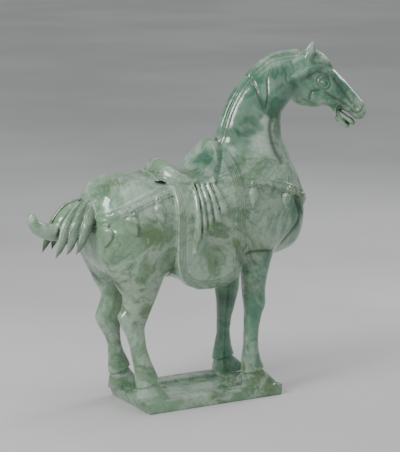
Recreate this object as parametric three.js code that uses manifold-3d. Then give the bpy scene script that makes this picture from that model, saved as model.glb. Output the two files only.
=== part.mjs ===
// A saddled standing horse carved with its plinth from one block of green hardstone.
// Millimetres. +X is the way the body faces, +Y the horse's left, +Z up.
// The origin is the middle of the plinth's underside.
import * as THREE from "three";
import { mergeVertices } from "three/addons/utils/BufferGeometryUtils.js";
import Module from "manifold-3d";

const wasm = await Module();
wasm.setup();
const { Manifold, Mesh } = wasm;

// Plinth: a low slab with a sunk panel between the hooves and a rear end cut back at the foot.
const plinthLength = 201.6;
const plinthWidth = 109.4;
const plinthHeight = 15;
const plinthRearCutBack = 5;
const panelRear = -54;
const panelFront = 50;
const panelHalfWidth = 33;
const panelDepth = 5.5;

// Facets around each kind of form, and rings along it.
const trunkSides = 28;
const trunkRings = 18;
const neckSides = 20;
const neckRings = 11;
const headSides = 16;
const headRings = 15;
const legSides = 12;
const legRings = 13;
const saddleSides = 18;
const saddleRings = 13;
const lockSides = 6;

// Raised work on the body: how far each layer stands off the bare body.
const blanketThickness = 4.5;
const strapThickness = 1.6;
const pendantThickness = 2.6;
const strapWidth = 13;
const skirtInnerHalfWidth = 50;
const skirtLean = 3;
const skirtFoot = 150;

// Trunk, station by station: x, back height, belly height, half width, height of the widest point.
const trunkRows = [
  [-163.5, 252, 240, 4, 246],
  [-160, 268, 222, 20, 246],
  [-152, 289, 201, 37, 247],
  [-138, 300, 183, 50, 247],
  [-115, 304, 170, 59, 245],
  [-85, 303, 166, 62, 240],
  [-55, 300, 166, 61.5, 236],
  [-25, 300, 163, 60.5, 234],
  [0, 309, 161, 60, 233],
  [20, 323, 162, 60, 233],
  [40, 332, 166, 60, 234],
  [65, 328, 173, 58, 235],
  [90, 314, 178, 54, 237],
  [117, 299, 181, 47, 239],
  [137, 285, 186, 37, 240],
  [150, 271, 200, 25, 240],
  [157, 255, 226, 9, 241],
];

// Neck: crest x and z, throat x and z, sideways centre, half width, turn to the right in degrees.
const neckRows = [
  [30, 312, 152, 254, 0, 50, 0],
  [32, 332, 145, 283, 0, 46, 0],
  [35, 350, 130, 316, -1, 40, 0],
  [44, 376, 119, 343, -4, 34, 4],
  [60, 404, 117, 363, -8, 29.5, 10],
  [82, 429, 124, 379, -14, 26, 18],
  [110, 446.5, 138, 392, -19, 22.5, 25],
  [139, 450, 154, 402, -25, 18, 29],
];

// Head, in its own frame: distance along the nose line, forehead side, jaw side, half width.
const headOrigin = new THREE.Vector3(164.1, -30.8, 446.3);
const headTurn = 29;
const headDip = 45.9;
const headRows = [
  [-19, -22, -38, 6],
  [-14, -9, -52, 16],
  [-5, -3, -63, 20.5],
  [8, 0, -69, 23],
  [20, 1, -68.5, 24],
  [31, 2, -65.5, 24],
  [42, 2, -59, 22],
  [50, 2, -51, 19.5],
  [57, 1.8, -41, 17],
  [66, 1.2, -33, 14.8],
  [76, 0.6, -28, 13.4],
  [86, 0, -24.5, 13],
  [94, -1.8, -23.5, 12.5],
  [100, -5.5, -22.5, 10],
  [103.5, -10, -19, 5],
];
const lowerJawRows = [
  [50, -30, -44, 11],
  [62, -28, -37.5, 12],
  [71, -30, -39, 11],
  [79, -33, -44, 10.5],
  [88, -34.5, -44, 10],
  [96, -34.5, -41.5, 8.5],
  [100.5, -36, -39.5, 4],
];
const tongueRows = [
  [70, -30, -36, 7],
  [84, -28, -35, 7.5],
  [96, -25.5, -33.5, 7.5],
  [101.5, -27, -32, 5],
];
const eyeAt = [31.6, -19.6, 21.5];
const eyeRadius = 4.2;
const mouthCornerAt = [79, -30, 15];
const mouthCornerRadius = 3.6;

// Legs: height, front x, back x, sideways centre, half width, tilt of the section in degrees.
// The last row is the rim of the fetlock, which stands over the hoof.
const hindRight = [
  [240, -66, -152, 30, 30, 0],
  [215, -60, -153, 31, 30, 0],
  [192, -61, -146, 33, 26, 0],
  [170, -69, -134, 35, 22, 0],
  [150, -78.5, -123, 36.5, 16.5, 0],
  [137, -84.5, -126.5, 37, 13.5, 0],
  [127, -89, -131, 37.5, 12.5, 0],
  [117, -93.5, -128, 38, 12, 0],
  [105, -95.5, -121.5, 38, 11, 0],
  [90, -94, -116, 38.5, 10, 0],
  [71, -88.5, -112, 39, 9.5, 0],
  [55, -82.5, -109, 39.5, 11, 8],
  [39, -76.5, -108, 40, 13.5, 20],
];
const hindLeft = [
  [240, -66, -152, 30, 30, 0],
  [215, -60, -153, 31, 30, 0],
  [190, -61, -144, 33, 26, 0],
  [165, -69, -131, 35, 22, 0],
  [140, -77, -118, 36.5, 16, 0],
  [125, -83, -122.5, 37, 13.5, 0],
  [113, -88, -127, 37.5, 12.5, 0],
  [103, -91.5, -123.5, 38, 12, 0],
  [92, -92.5, -117, 38, 11, 0],
  [80, -91.5, -111, 38.5, 10, 0],
  [68, -88.5, -108, 39, 9.5, 0],
  [53, -82.5, -108, 39.5, 11, 8],
  [39, -76.5, -108, 40, 13.5, 20],
];
const foreRight = [
  [240, 104, 46, 28, 28, 0],
  [215, 101, 46, 31, 25, 0],
  [190, 94, 49, 34, 21, 0],
  [170, 87, 50, 36, 17.5, 0],
  [152, 82.5, 50, 37, 15, 0],
  [138, 81, 50.5, 37.5, 13.5, 0],
  [124, 80.5, 52, 38, 13, 0],
  [108, 76, 52.5, 38, 11.5, 0],
  [90, 72.5, 52, 38.5, 10, 0],
  [70, 71, 51, 39, 9.5, 0],
  [55, 73, 48.5, 39.5, 11, 4],
  [36, 79, 47, 40, 13.5, 10],
];
const foreLeft = [
  [240, 104, 46, 28, 28, 0],
  [215, 101, 46, 31, 25, 0],
  [190, 95, 49, 34, 21, 0],
  [170, 90, 50, 36, 18, 0],
  [150, 87, 51, 37, 15.5, 0],
  [133, 86, 51.5, 37.5, 14, 0],
  [120, 83, 53, 38, 13, 0],
  [104, 79, 54, 38, 11.5, 0],
  [88, 74.5, 55, 38.5, 10, 0],
  [70, 73, 55, 39, 9.5, 0],
  [53, 75, 52, 39.5, 11, 4],
  [36, 80, 48, 40, 13.5, 10],
];

// Hoof, below a fetlock whose rim is centred on x = 0: share of the height from the plinth up to
// the rim, front, back, half width, share of the rim's tilt. A forehoof stands further forward.
const hoofRows = [
  [1.15, 11, -12, 10.5, 1],
  [0.9, 13, -12.5, 11, 1],
  [0.7, 17, -13.5, 12.3, 0.7],
  [0.35, 24, -14.5, 13.5, 0.3],
  [0, 30.5, -15, 14.3, 0],
];
const hoofFoot = 14;
const forehoofReach = 5;

// Docked tail: hair gathered over the root, a curled stub, and locks falling on both sides.
const tailRootRows = [
  [-150, 0, 252, 21, 22, 16],
  [-166, 0, 252, 21, 22, 16],
  [-180, 0, 248, 19, 20, 15],
  [-190, 0, 244, 14.5, 16, 12],
  [-197, 0, 240, 7, 9, 7],
];
const tailStubRows = [
  [-184, 0, 237, 11, 11, 11],
  [-200, 0, 238, 11, 11, 11],
  [-214, 0, 241, 10.2, 10.2, 10.2],
  [-225, 0, 247, 8.8, 8.8, 9],
  [-230.5, 0, 255, 7, 7, 7.5],
  [-231, 0, 262, 5, 5, 5.5],
  [-229.5, 0, 266.5, 2.2, 2.2, 2.4],
];
// Each lock: points x, y, z with half thickness and half width, for the right side.
const tailLocks = [
  [
    [-163, -7, 273, 3, 5],
    [-178, -14, 264, 4.5, 7],
    [-192, -18, 247, 5, 7],
    [-199, -20, 230, 4.5, 6],
    [-204, -21, 219, 3, 3.8],
    [-209, -20, 209, 0.8, 1],
  ],
  [
    [-159, -11, 273, 3, 5],
    [-171, -19, 262, 4.5, 7],
    [-182, -23, 246, 5, 7],
    [-188, -24, 229, 4.5, 5.5],
    [-191, -24, 220, 3, 3.6],
    [-195, -22, 212, 0.8, 1],
  ],
  [
    [-155, -15, 272, 3, 5],
    [-162, -24, 261, 4.5, 7],
    [-170, -28, 245, 5, 7],
    [-176, -28, 229, 4.2, 5.5],
    [-179, -26, 220, 2.8, 3.4],
    [-183, -24, 212, 0.8, 1],
  ],
];

// Saddle: x, ridge height, lower edge height, half width.
const saddleRows = [
  [-64, 307, 300, 16],
  [-61.5, 315.5, 298, 27],
  [-57, 320.5, 297, 34],
  [-51, 320.5, 296, 40],
  [-44, 314.5, 295, 43.5],
  [-35, 309, 294, 45],
  [-24, 307.5, 293, 46],
  [-11, 311, 292, 47],
  [1, 321, 292, 47],
  [10, 332.5, 293, 44.5],
  [16, 340, 297, 40],
  [22, 341, 303, 34],
  [28, 338, 311, 26],
  [32, 334, 321, 13],
];

// Blanket seen from the side, from the front of the withers round the hem to the back.
const blanketOutline = [
  [33, 350],
  [33.5, 326],
  [35.5, 311],
  [38.5, 282],
  [38.5, 246],
  [38, 205],
  [36, 183],
  [29, 168],
  [12, 159],
  [-8, 156.5],
  [-30, 158],
  [-46, 165],
  [-56, 177],
  [-60, 196],
  [-60, 240],
  [-58, 273],
  [-58, 288],
  [-62, 295],
  [-68, 297],
  [-74, 297],
  [-74, 350],
];

// Flap behind the fall of cloth, and the cloth tied over the saddle in flutes with a stepped hem.
const flapOutline = [
  [-57, 292],
  [-26, 296],
  [-30, 250],
  [-42, 252],
  [-57, 258],
];
const flapLift = 1.4;
const fallTopHeight = 297;
const fluteEdges = [-31, -25, -19, -13, -7, -1];
// The foot of each flute from its rear corner to its front corner, and how far it stands off.
const fluteFeet = [
  [-40, 202, -28, 214, 4],
  [-28, 219, -18, 226, 2.4],
  [-18, 231, -8, 238, 4],
  [-8, 243, 3, 248, 2.4],
  [3, 254, 13, 263, 4],
];
const knotOutline = [
  [-35, 301],
  [-20, 297],
  [-3, 297],
  [3, 303],
  [4, 292],
  [-5, 290],
  [-22, 291],
  [-36, 295],
];
const knotLift = 8.5;

// Crupper and breast straps as centre lines seen from the side.
const crupperLine = [
  [-178, 244],
  [-155, 255],
  [-127, 267.5],
  [-85, 281],
  [-52, 287],
];
const breastLine = [
  [30, 290],
  [64, 287],
  [104, 277],
  [139, 262],
  [165, 246],
];
// Pendants: x, height of the top, drop, half width, lean of the tip in x.
const pendants = [
  [-151, 247, 27, 8.5, -1],
  [-121, 260, 25, 8.5, 4],
  [-82, 273, 25, 8, 3],
  [56, 281, 27, 8, -4],
  [109, 270, 28, 8, 2],
  [138, 258, 24, 6.5, 1],
];
const studRadius = 4.2;
const studSides = 6;

const xAxis = new THREE.Vector3(1, 0, 0);
const yAxis = new THREE.Vector3(0, 1, 0);
const zAxis = new THREE.Vector3(0, 0, 1);

function degrees(angle) {
  return (angle * Math.PI) / 180;
}

// Slopes at the rows of a table that keep the curve through them free of overshoot.
function slopesOf(places, values) {
  const last = places.length - 1;
  const rises = [];
  for (let i = 0; i < last; i += 1) {
    rises.push((values[i + 1] - values[i]) / (places[i + 1] - places[i]));
  }
  const slopes = [rises[0]];
  for (let i = 1; i < last; i += 1) {
    const before = rises[i - 1];
    const after = rises[i];
    slopes.push(before * after <= 0 ? 0 : (2 * before * after) / (before + after));
  }
  slopes.push(rises[last - 1]);
  return slopes;
}

// Reads a table at evenly spread row numbers, every column as a smooth curve.
function follow(rows, count) {
  const places = rows.map((row, index) => index);
  const columns = rows[0].map((value, column) => rows.map((row) => row[column]));
  const slopes = columns.map((column) => slopesOf(places, column));
  const read = [];
  for (let i = 0; i < count; i += 1) {
    const place = (i * (rows.length - 1)) / (count - 1);
    const index = Math.min(Math.floor(place), rows.length - 2);
    const t = place - index;
    const startShare = 2 * t ** 3 - 3 * t ** 2 + 1;
    const startPull = t ** 3 - 2 * t ** 2 + t;
    const endPull = t ** 3 - t ** 2;
    read.push(
      columns.map(
        (column, k) =>
          startShare * column[index] +
          startPull * slopes[k][index] +
          (1 - startShare) * column[index + 1] +
          endPull * slopes[k][index + 1],
      ),
    );
  }
  return read;
}

// A closed ring of points round one section. Its reach above the centre, below it and to the
// sides may all differ, and `taper` draws the sides in towards the top.
function ringOf(section, sides) {
  const power = section.power ?? 2;
  const taper = section.taper ?? 0;
  const points = [];
  for (let i = 0; i < sides; i += 1) {
    const angle = (2 * Math.PI * i) / sides;
    const along = Math.cos(angle);
    const across = Math.sin(angle);
    const rise = along > 0 ? section.top : section.low;
    const spread = section.half * (1 - taper * along);
    const sum = (Math.abs(along) / rise) ** power + (Math.abs(across) / spread) ** power;
    const reach = sum ** (-1 / power);
    points.push(
      section.at
        .clone()
        .addScaledVector(section.up, reach * along)
        .addScaledVector(section.side, reach * across),
    );
  }
  return points;
}

function signedVolume(points, triangles) {
  let total = 0;
  for (const [a, b, c] of triangles) {
    total += points[a].dot(points[b].clone().cross(points[c])) / 6;
  }
  return total;
}

// A closed solid over rings of points, each ring with its middle for the flat ends.
function closedSkin(rings, sides) {
  const points = rings.flatMap((ring) => ring.points);
  const triangles = [];
  for (let r = 0; r + 1 < rings.length; r += 1) {
    for (let i = 0; i < sides; i += 1) {
      const next = (i + 1) % sides;
      const a = r * sides + i;
      const b = r * sides + next;
      const c = a + sides;
      const d = b + sides;
      triangles.push([a, b, d], [a, d, c]);
    }
  }
  const startCap = points.length;
  points.push(rings[0].middle);
  const endCap = points.length;
  points.push(rings[rings.length - 1].middle);
  const lastRing = (rings.length - 1) * sides;
  for (let i = 0; i < sides; i += 1) {
    const next = (i + 1) % sides;
    triangles.push([startCap, next, i], [endCap, lastRing + i, lastRing + next]);
  }
  const inward = signedVolume(points, triangles) < 0;
  const order = inward ? triangles.map(([a, b, c]) => [a, c, b]) : triangles;
  return new Manifold(
    new Mesh({
      numProp: 3,
      vertProperties: new Float32Array(points.flatMap((p) => [p.x, p.y, p.z])),
      triVerts: new Uint32Array(order.flat()),
    }),
  );
}

function skinOver(sections, sides) {
  const rings = sections.map((section) => ({
    points: ringOf(section, sides),
    middle: section.at.clone(),
  }));
  return closedSkin(rings, sides);
}

// A four-cornered skin along x, for the hanging skirts of the blanket.
function boxedSkin(corners) {
  const rings = [];
  for (let i = 0; i < corners.length; i += 4) {
    const points = corners.slice(i, i + 4).map(([x, y, z]) => new THREE.Vector3(x, y, z));
    const middle = points[0].clone().add(points[2]).multiplyScalar(0.5);
    rings.push({ points, middle });
  }
  return closedSkin(rings, 4);
}

function solidOf(geometry) {
  const bare = geometry.clone();
  bare.deleteAttribute("normal");
  bare.deleteAttribute("uv");
  const merged = mergeVertices(bare, 1e-4);
  return new Manifold(
    new Mesh({
      numProp: 3,
      vertProperties: new Float32Array(merged.attributes.position.array),
      triVerts: new Uint32Array(merged.index.array),
    }),
  );
}

// A side outline in x and z, carried across the body from one sideways place to another.
function prismOf(outline, fromY, toY) {
  const shape = new THREE.Shape(outline.map(([x, z]) => new THREE.Vector2(x, z)));
  const geometry = new THREE.ExtrudeGeometry(shape, { depth: toY - fromY, bevelEnabled: false });
  geometry.rotateX(Math.PI / 2);
  geometry.translate(0, toY, 0);
  return solidOf(geometry);
}

// The outline of a band of even width along a centre line.
function bandOutline(line, width) {
  const upper = [];
  const lower = [];
  const rows = follow(line, 2 * line.length + 1);
  for (let i = 0; i < rows.length; i += 1) {
    const before = rows[Math.max(i - 1, 0)];
    const after = rows[Math.min(i + 1, rows.length - 1)];
    const run = Math.hypot(after[0] - before[0], after[1] - before[1]);
    const nx = (-(after[1] - before[1]) / run) * (width / 2);
    const nz = ((after[0] - before[0]) / run) * (width / 2);
    upper.push([rows[i][0] + nx, rows[i][1] + nz]);
    lower.unshift([rows[i][0] - nx, rows[i][1] - nz]);
  }
  return [...upper, ...lower];
}

function leafOutline([x, top, drop, half, lean]) {
  const leaf = new THREE.Shape();
  leaf.moveTo(x, top);
  leaf.bezierCurveTo(x + half, top + 2, x + half + 3, top - drop * 0.45, x + lean, top - drop);
  leaf.bezierCurveTo(x - half - 3, top - drop * 0.45, x - half, top + 2, x, top);
  return leaf.getPoints(3).map((point) => [point.x, point.y]);
}

function discOutline(x, z, radius) {
  const points = [];
  for (let i = 0; i < studSides; i += 1) {
    const angle = (2 * Math.PI * i) / studSides;
    points.push([x + radius * Math.cos(angle), z + radius * Math.sin(angle)]);
  }
  return points;
}

function trunk(grow) {
  const sections = follow(trunkRows, trunkRings).map(([x, back, belly, half, middle]) => ({
    at: new THREE.Vector3(x, 0, middle),
    up: zAxis,
    side: yAxis,
    top: back - middle + grow,
    low: middle - belly + grow,
    half: half + grow,
    power: 2.15,
  }));
  if (grow > 0) {
    sections[0].at.x -= grow;
    sections[sections.length - 1].at.x += grow;
  }
  return skinOver(sections, trunkSides);
}

function neck(grow) {
  const sections = follow(neckRows, neckRings).map(([cx, cz, tx, tz, y, half, turn]) => {
    const up = new THREE.Vector3(cx - tx, 0, cz - tz);
    const reach = up.length() / 2;
    const flat = new THREE.Vector3(
      up.x * Math.cos(degrees(turn)),
      -up.x * Math.sin(degrees(turn)),
      up.z,
    ).normalize();
    return {
      at: new THREE.Vector3((cx + tx) / 2, y, (cz + tz) / 2),
      up: flat,
      side: new THREE.Vector3(Math.sin(degrees(turn)), Math.cos(degrees(turn)), 0),
      top: reach + grow,
      low: reach + grow,
      half: half + grow,
      taper: 0.22,
      power: 2.1,
    };
  });
  return skinOver(sections, neckSides);
}

// Leg rows give the right-hand leg; `side` is -1 for the right leg and 1 for the left.
function legSections(rows, count, side, grow) {
  return follow(rows, count).map(([z, front, back, y, half, tilt]) => ({
    at: new THREE.Vector3((front + back) / 2, side * y, z),
    up: new THREE.Vector3(Math.cos(degrees(tilt)), 0, Math.sin(degrees(tilt))),
    side: yAxis,
    top: (front - back) / 2 + grow,
    low: (front - back) / 2 + grow,
    half: half + grow,
    power: 2.1,
  }));
}

function leg(rows, side, reach) {
  const bone = skinOver(legSections(rows, legRings, side, 0), legSides);
  const rim = rows[rows.length - 1];
  const centre = (rim[1] + rim[2]) / 2;
  const hoof = hoofRows.map(([level, front, back, half, share]) => ({
    at: new THREE.Vector3(
      centre + (front + reach * (1.15 - level) + back) / 2,
      side * rim[3],
      hoofFoot + (rim[0] - hoofFoot) * level,
    ),
    up: new THREE.Vector3(
      Math.cos(degrees(rim[5] * share)),
      0,
      Math.sin(degrees(rim[5] * share)),
    ),
    side: yAxis,
    top: (front + reach * (1.15 - level) - back) / 2,
    low: (front + reach * (1.15 - level) - back) / 2,
    half,
    power: 2.5,
  }));
  return bone.add(skinOver(hoof, legSides));
}

const noseLine = new THREE.Vector3(
  Math.cos(degrees(headDip)) * Math.cos(degrees(headTurn)),
  -Math.cos(degrees(headDip)) * Math.sin(degrees(headTurn)),
  -Math.sin(degrees(headDip)),
);
const headSide = new THREE.Vector3(Math.sin(degrees(headTurn)), Math.cos(degrees(headTurn)), 0);
const browLine = new THREE.Vector3().crossVectors(noseLine, headSide);

// A place in the head's frame: along the nose line, out towards the brow, out to the left.
function onHead(along, out, left) {
  return headOrigin
    .clone()
    .addScaledVector(noseLine, along)
    .addScaledVector(browLine, out)
    .addScaledVector(headSide, left);
}

function headSolid(rows, count, sides, power, taper) {
  const sections = follow(rows, count).map(([along, top, low, half]) => ({
    at: onHead(along, (top + low) / 2, 0),
    up: browLine,
    side: headSide,
    top: (top - low) / 2,
    low: (top - low) / 2,
    half,
    power,
    taper,
  }));
  return skinOver(sections, sides);
}

// A rounded rope through points, each with a half thickness up from the path and a half width.
function sweep(points, sideHint, sides, rings) {
  const rows = follow(points, rings);
  const sections = rows.map((row, index) => {
    const before = rows[Math.max(index - 1, 0)];
    const after = rows[Math.min(index + 1, rows.length - 1)];
    const run = new THREE.Vector3(
      after[0] - before[0],
      after[1] - before[1],
      after[2] - before[2],
    ).normalize();
    const side = sideHint.clone().addScaledVector(run, -sideHint.dot(run)).normalize();
    return {
      at: new THREE.Vector3(row[0], row[1], row[2]),
      up: new THREE.Vector3().crossVectors(run, side),
      side,
      top: row[3],
      low: row[4],
      half: row[5],
    };
  });
  return skinOver(sections, sides);
}

function ball(at, radius, squash) {
  const geometry = new THREE.SphereGeometry(radius, 8, 6);
  geometry.scale(squash[0], squash[1], squash[2]);
  geometry.translate(at.x, at.y, at.z);
  return solidOf(geometry);
}

function head() {
  const solids = [
    headSolid(headRows, headRings, headSides, 2.3, 0.08),
    headSolid(lowerJawRows, 8, 12, 2.3, 0),
    headSolid(tongueRows, 4, 8, 2.6, 0),
  ];
  for (const side of [-1, 1]) {
    solids.push(ball(onHead(eyeAt[0], eyeAt[1], side * eyeAt[2]), eyeRadius, [1, 1, 1]));
    const ear = [
      [onHead(-1, -24, side * 13), 5.5, 4],
      [onHead(-6, -10, side * 13), 6.2, 4.2],
      [onHead(-9.5, -1, side * 12.5), 4.8, 3.4],
      [onHead(-12, 4, side * 12), 2.6, 2],
      [onHead(-12.8, 6.6, side * 12), 0.8, 0.8],
    ].map(([at, wide, thick]) => [at.x, at.y, at.z, wide, wide, thick]);
    solids.push(sweep(ear, headSide, 6, 6));
    // The neck leaves the head's middle plane on the right, and the lock follows it.
    const sweptLock = [
      [onHead(14, -9, side * 18), 4, 3],
      [onHead(8, -19, side * 22 - 0.5), 5, 4],
      [onHead(4, -31, side * 23.5 - 2), 5.5, 4.5],
      [onHead(0, -43, side * 23 - 4.5), 4.8, 4.5],
      [onHead(-6, -53, side * 22 - 7), 3, 3.5],
      [onHead(-10, -60, side * 20 - 8), 0.8, 1],
    ].map(([at, wide, thick]) => [at.x, at.y, at.z, wide, wide, thick]);
    solids.push(sweep(sweptLock, headSide, 6, 6));
  }
  for (const left of [-6, 0, 6]) {
    const forelock = [
      [onHead(-8, -3, left), 3, 3.4],
      [onHead(4, 1, left), 3.4, 3.8],
      [onHead(16, 2, left * 1.1), 2.8, 3.4],
      [onHead(27, 1, left * 1.2), 1, 1.4],
    ].map(([at, wide, thick]) => [at.x, at.y, at.z, wide, wide, thick]);
    solids.push(sweep(forelock, headSide, 6, 5));
  }
  let carved = Manifold.union(solids);
  for (const side of [-1, 1]) {
    const corner = onHead(mouthCornerAt[0], mouthCornerAt[1], side * mouthCornerAt[2]);
    carved = carved.subtract(ball(corner, mouthCornerRadius, [1, 1.6, 1]));
  }
  return carved;
}

// The hogged mane stands as a rounded ridge along the crest.
function mane() {
  const points = follow(neckRows, 10).map(([cx, cz, tx, tz, y, half, turn]) => {
    const up = new THREE.Vector3(cx - tx, 0, cz - tz);
    const reach = up.length() / 2 - 2;
    up.normalize();
    const flat = new THREE.Vector3(
      up.x * Math.cos(degrees(turn)),
      -up.x * Math.sin(degrees(turn)),
      up.z,
    );
    const at = new THREE.Vector3((cx + tx) / 2, y, (cz + tz) / 2).addScaledVector(flat, reach);
    return [at.x, at.y, at.z, 4.5, 4.5, 6.5];
  });
  return sweep(points, yAxis, 8, 11);
}

function tail() {
  const solids = [
    sweep(tailRootRows, yAxis, 12, 6),
    sweep(tailStubRows, yAxis, 10, 10),
  ];
  for (const side of [-1, 1]) {
    for (const lock of tailLocks) {
      const points = lock.map(([x, y, z, thick, wide]) => [x, -side * y, z, wide, wide, thick]);
      solids.push(sweep(points, yAxis, lockSides, 6));
    }
  }
  return Manifold.union(solids);
}

// The bare body grown evenly, for cutting layers that lie on it.
function bodyForm(grow) {
  const parts = [trunk(grow), neck(grow)];
  for (const side of [-1, 1]) {
    parts.push(skinOver(legSections(hindRight.slice(0, 5), 6, side, grow), legSides));
    parts.push(skinOver(legSections(foreRight.slice(0, 5), 6, side, grow), legSides));
  }
  return Manifold.union(parts);
}

// The blanket's form: the grown trunk above its widest line, hanging almost straight below it.
function drapedForm(grow) {
  const rows = follow(trunkRows, trunkRings).filter(([x]) => x > -95 && x < 62);
  const arches = [];
  const skirts = [];
  for (const [x, back, , half, middle] of rows) {
    const at = new THREE.Vector3(x, 0, middle);
    const common = { at, up: zAxis, side: yAxis, half: half + grow };
    arches.push({ ...common, top: back - middle + grow, low: 1, power: 2.15 });
    skirts.push([x, middle, half + grow]);
  }
  const corners = skirts.flatMap(([x, middle, half]) => [
    [x, -half, middle + 1],
    [x, half, middle + 1],
    [x, half - skirtLean, skirtFoot],
    [x, skirtLean - half, skirtFoot],
  ]);
  return skinOver(arches, trunkSides).add(boxedSkin(corners));
}

function blanket() {
  const draped = drapedForm(blanketThickness).intersect(prismOf(blanketOutline, -80, 80));
  const under = solidOf(
    new THREE.BoxGeometry(140, 2 * skirtInnerHalfWidth, 40).translate(-10, 0, 150),
  );
  return draped.subtract(under);
}

function saddle() {
  const sections = follow(saddleRows, saddleRings).map(([x, ridge, edge, half]) => ({
    at: new THREE.Vector3(x, 0, edge),
    up: zAxis,
    side: yAxis,
    top: ridge - edge,
    low: 12,
    half,
    power: 1.85,
  }));
  return skinOver(sections, saddleSides);
}

// The cloth tied over the saddle: a gathered knot with flutes falling from it on each side.
function tiedCloth() {
  const solids = fluteFeet.map(([rearX, rearZ, frontX, frontZ, lift], index) => {
    const outline = [
      [fluteEdges[index], fallTopHeight],
      [rearX, rearZ],
      [frontX, frontZ],
      [fluteEdges[index + 1], fallTopHeight],
    ];
    return drapedForm(blanketThickness + lift).intersect(prismOf(outline, -90, 90));
  });
  solids.push(drapedForm(knotLift).intersect(prismOf(knotOutline, -90, 90)));
  return Manifold.union(solids);
}

function trappings() {
  const strapForm = bodyForm(strapThickness);
  const pendantForm = bodyForm(pendantThickness);
  const bands = prismOf(bandOutline(crupperLine, strapWidth), -90, 90).add(
    prismOf(bandOutline(breastLine, strapWidth), -90, 90),
  );
  const leaves = pendants.map((row) => prismOf(leafOutline(row), -90, 90));
  const studs = pendants.map(([x, top]) => prismOf(discOutline(x, top + 5, studRadius), -90, 90));
  return strapForm.intersect(bands).add(pendantForm.intersect(Manifold.union([...leaves, ...studs])));
}

function plinth() {
  const half = plinthLength / 2;
  const slab = prismOf(
    [
      [-half + plinthRearCutBack, 0],
      [half, 0],
      [half, plinthHeight],
      [-half, plinthHeight],
    ],
    -plinthWidth / 2,
    plinthWidth / 2,
  );
  const panel = new THREE.BoxGeometry(panelFront - panelRear, 2 * panelHalfWidth, 2 * panelDepth);
  panel.translate((panelFront + panelRear) / 2, 0, plinthHeight);
  return slab.subtract(solidOf(panel));
}

const flap = drapedForm(blanketThickness + flapLift).intersect(prismOf(flapOutline, -80, 80));
const horse = Manifold.union([
  trunk(0),
  neck(0),
  mane(),
  head(),
  leg(hindRight, -1, 0),
  leg(hindLeft, 1, 0),
  leg(foreRight, -1, forehoofReach),
  leg(foreLeft, 1, forehoofReach),
  tail(),
  blanket(),
  flap,
  saddle(),
  tiedCloth(),
  trappings(),
  plinth(),
]);

function geometryOf(solid) {
  const mesh = solid.getMesh();
  const geometry = new THREE.BufferGeometry();
  geometry.setAttribute("position", new THREE.BufferAttribute(new Float32Array(mesh.vertProperties), 3));
  geometry.setIndex(new THREE.BufferAttribute(new Uint32Array(mesh.triVerts), 1));
  geometry.computeVertexNormals();
  return geometry;
}

const stone = new THREE.MeshStandardMaterial({ color: 0x8fb09a, roughness: 0.35, metalness: 0 });
stone.name = "green_hardstone";

const figure = new THREE.Mesh(geometryOf(horse), stone);
figure.name = "horse_figure";

const part = new THREE.Group();
part.name = "hardstone_horse_figure";
part.add(figure);

export default part;
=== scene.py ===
import math
import time

import bpy
import numpy as np
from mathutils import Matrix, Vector


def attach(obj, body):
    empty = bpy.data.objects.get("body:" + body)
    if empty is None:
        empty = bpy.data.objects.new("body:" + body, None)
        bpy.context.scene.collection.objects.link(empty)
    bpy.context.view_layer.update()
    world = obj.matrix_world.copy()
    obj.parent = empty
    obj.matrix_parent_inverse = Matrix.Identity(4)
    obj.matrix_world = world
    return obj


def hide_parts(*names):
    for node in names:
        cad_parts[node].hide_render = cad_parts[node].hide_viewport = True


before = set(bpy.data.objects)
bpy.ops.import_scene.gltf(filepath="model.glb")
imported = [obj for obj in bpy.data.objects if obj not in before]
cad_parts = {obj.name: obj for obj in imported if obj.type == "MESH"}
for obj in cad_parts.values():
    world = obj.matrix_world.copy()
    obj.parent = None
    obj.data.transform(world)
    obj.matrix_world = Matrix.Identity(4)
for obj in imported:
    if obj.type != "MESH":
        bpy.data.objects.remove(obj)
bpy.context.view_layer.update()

started = time.time()


def note(text):
    print(f"[{time.time() - started:6.1f}s] {text}")


# Sizes are in millimetres, as in the part's source, until the mesh is made.

quality = {
    "gridStep": 1.1,
    "coarseFactor": 8,
    "trianglesMost": 190000,
    "ringStep": 1.6,
}

plinthValues = {
    "length": 201.6, "width": 109.4, "height": 15.0, "rearCutBack": 5.0,
    "panelRear": -54.0, "panelFront": 50.0, "panelHalfWidth": 33.0, "panelDepth": 5.5,
}

trunkRows = [
    (-163.5, 252, 240, 4, 246), (-160, 268, 222, 20, 246), (-152, 289, 201, 37, 247),
    (-138, 300, 183, 50, 247), (-115, 304, 170, 59, 245), (-85, 303, 166, 62, 240),
    (-55, 300, 166, 61.5, 236), (-25, 300, 163, 60.5, 234), (0, 309, 161, 60, 233),
    (20, 323, 162, 60, 233), (40, 332, 166, 60, 234), (65, 328, 173, 58, 235),
    (90, 314, 178, 54, 237), (117, 299, 181, 47, 239), (137, 285, 186, 37, 240),
    (150, 271, 200, 25, 240), (157, 255, 226, 9, 241),
]

neckRows = [
    (30, 312, 152, 254, 0, 50, 0), (32, 332, 145, 283, 0, 46, 0), (35, 350, 130, 316, -1, 40, 0),
    (44, 376, 119, 343, -4, 34, 4), (60, 404, 117, 363, -8, 29.5, 10),
    (82, 429, 124, 379, -14, 26, 18), (110, 446.5, 138, 392, -19, 22.5, 25),
    (139, 450, 154, 402, -25, 18, 29),
]

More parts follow.
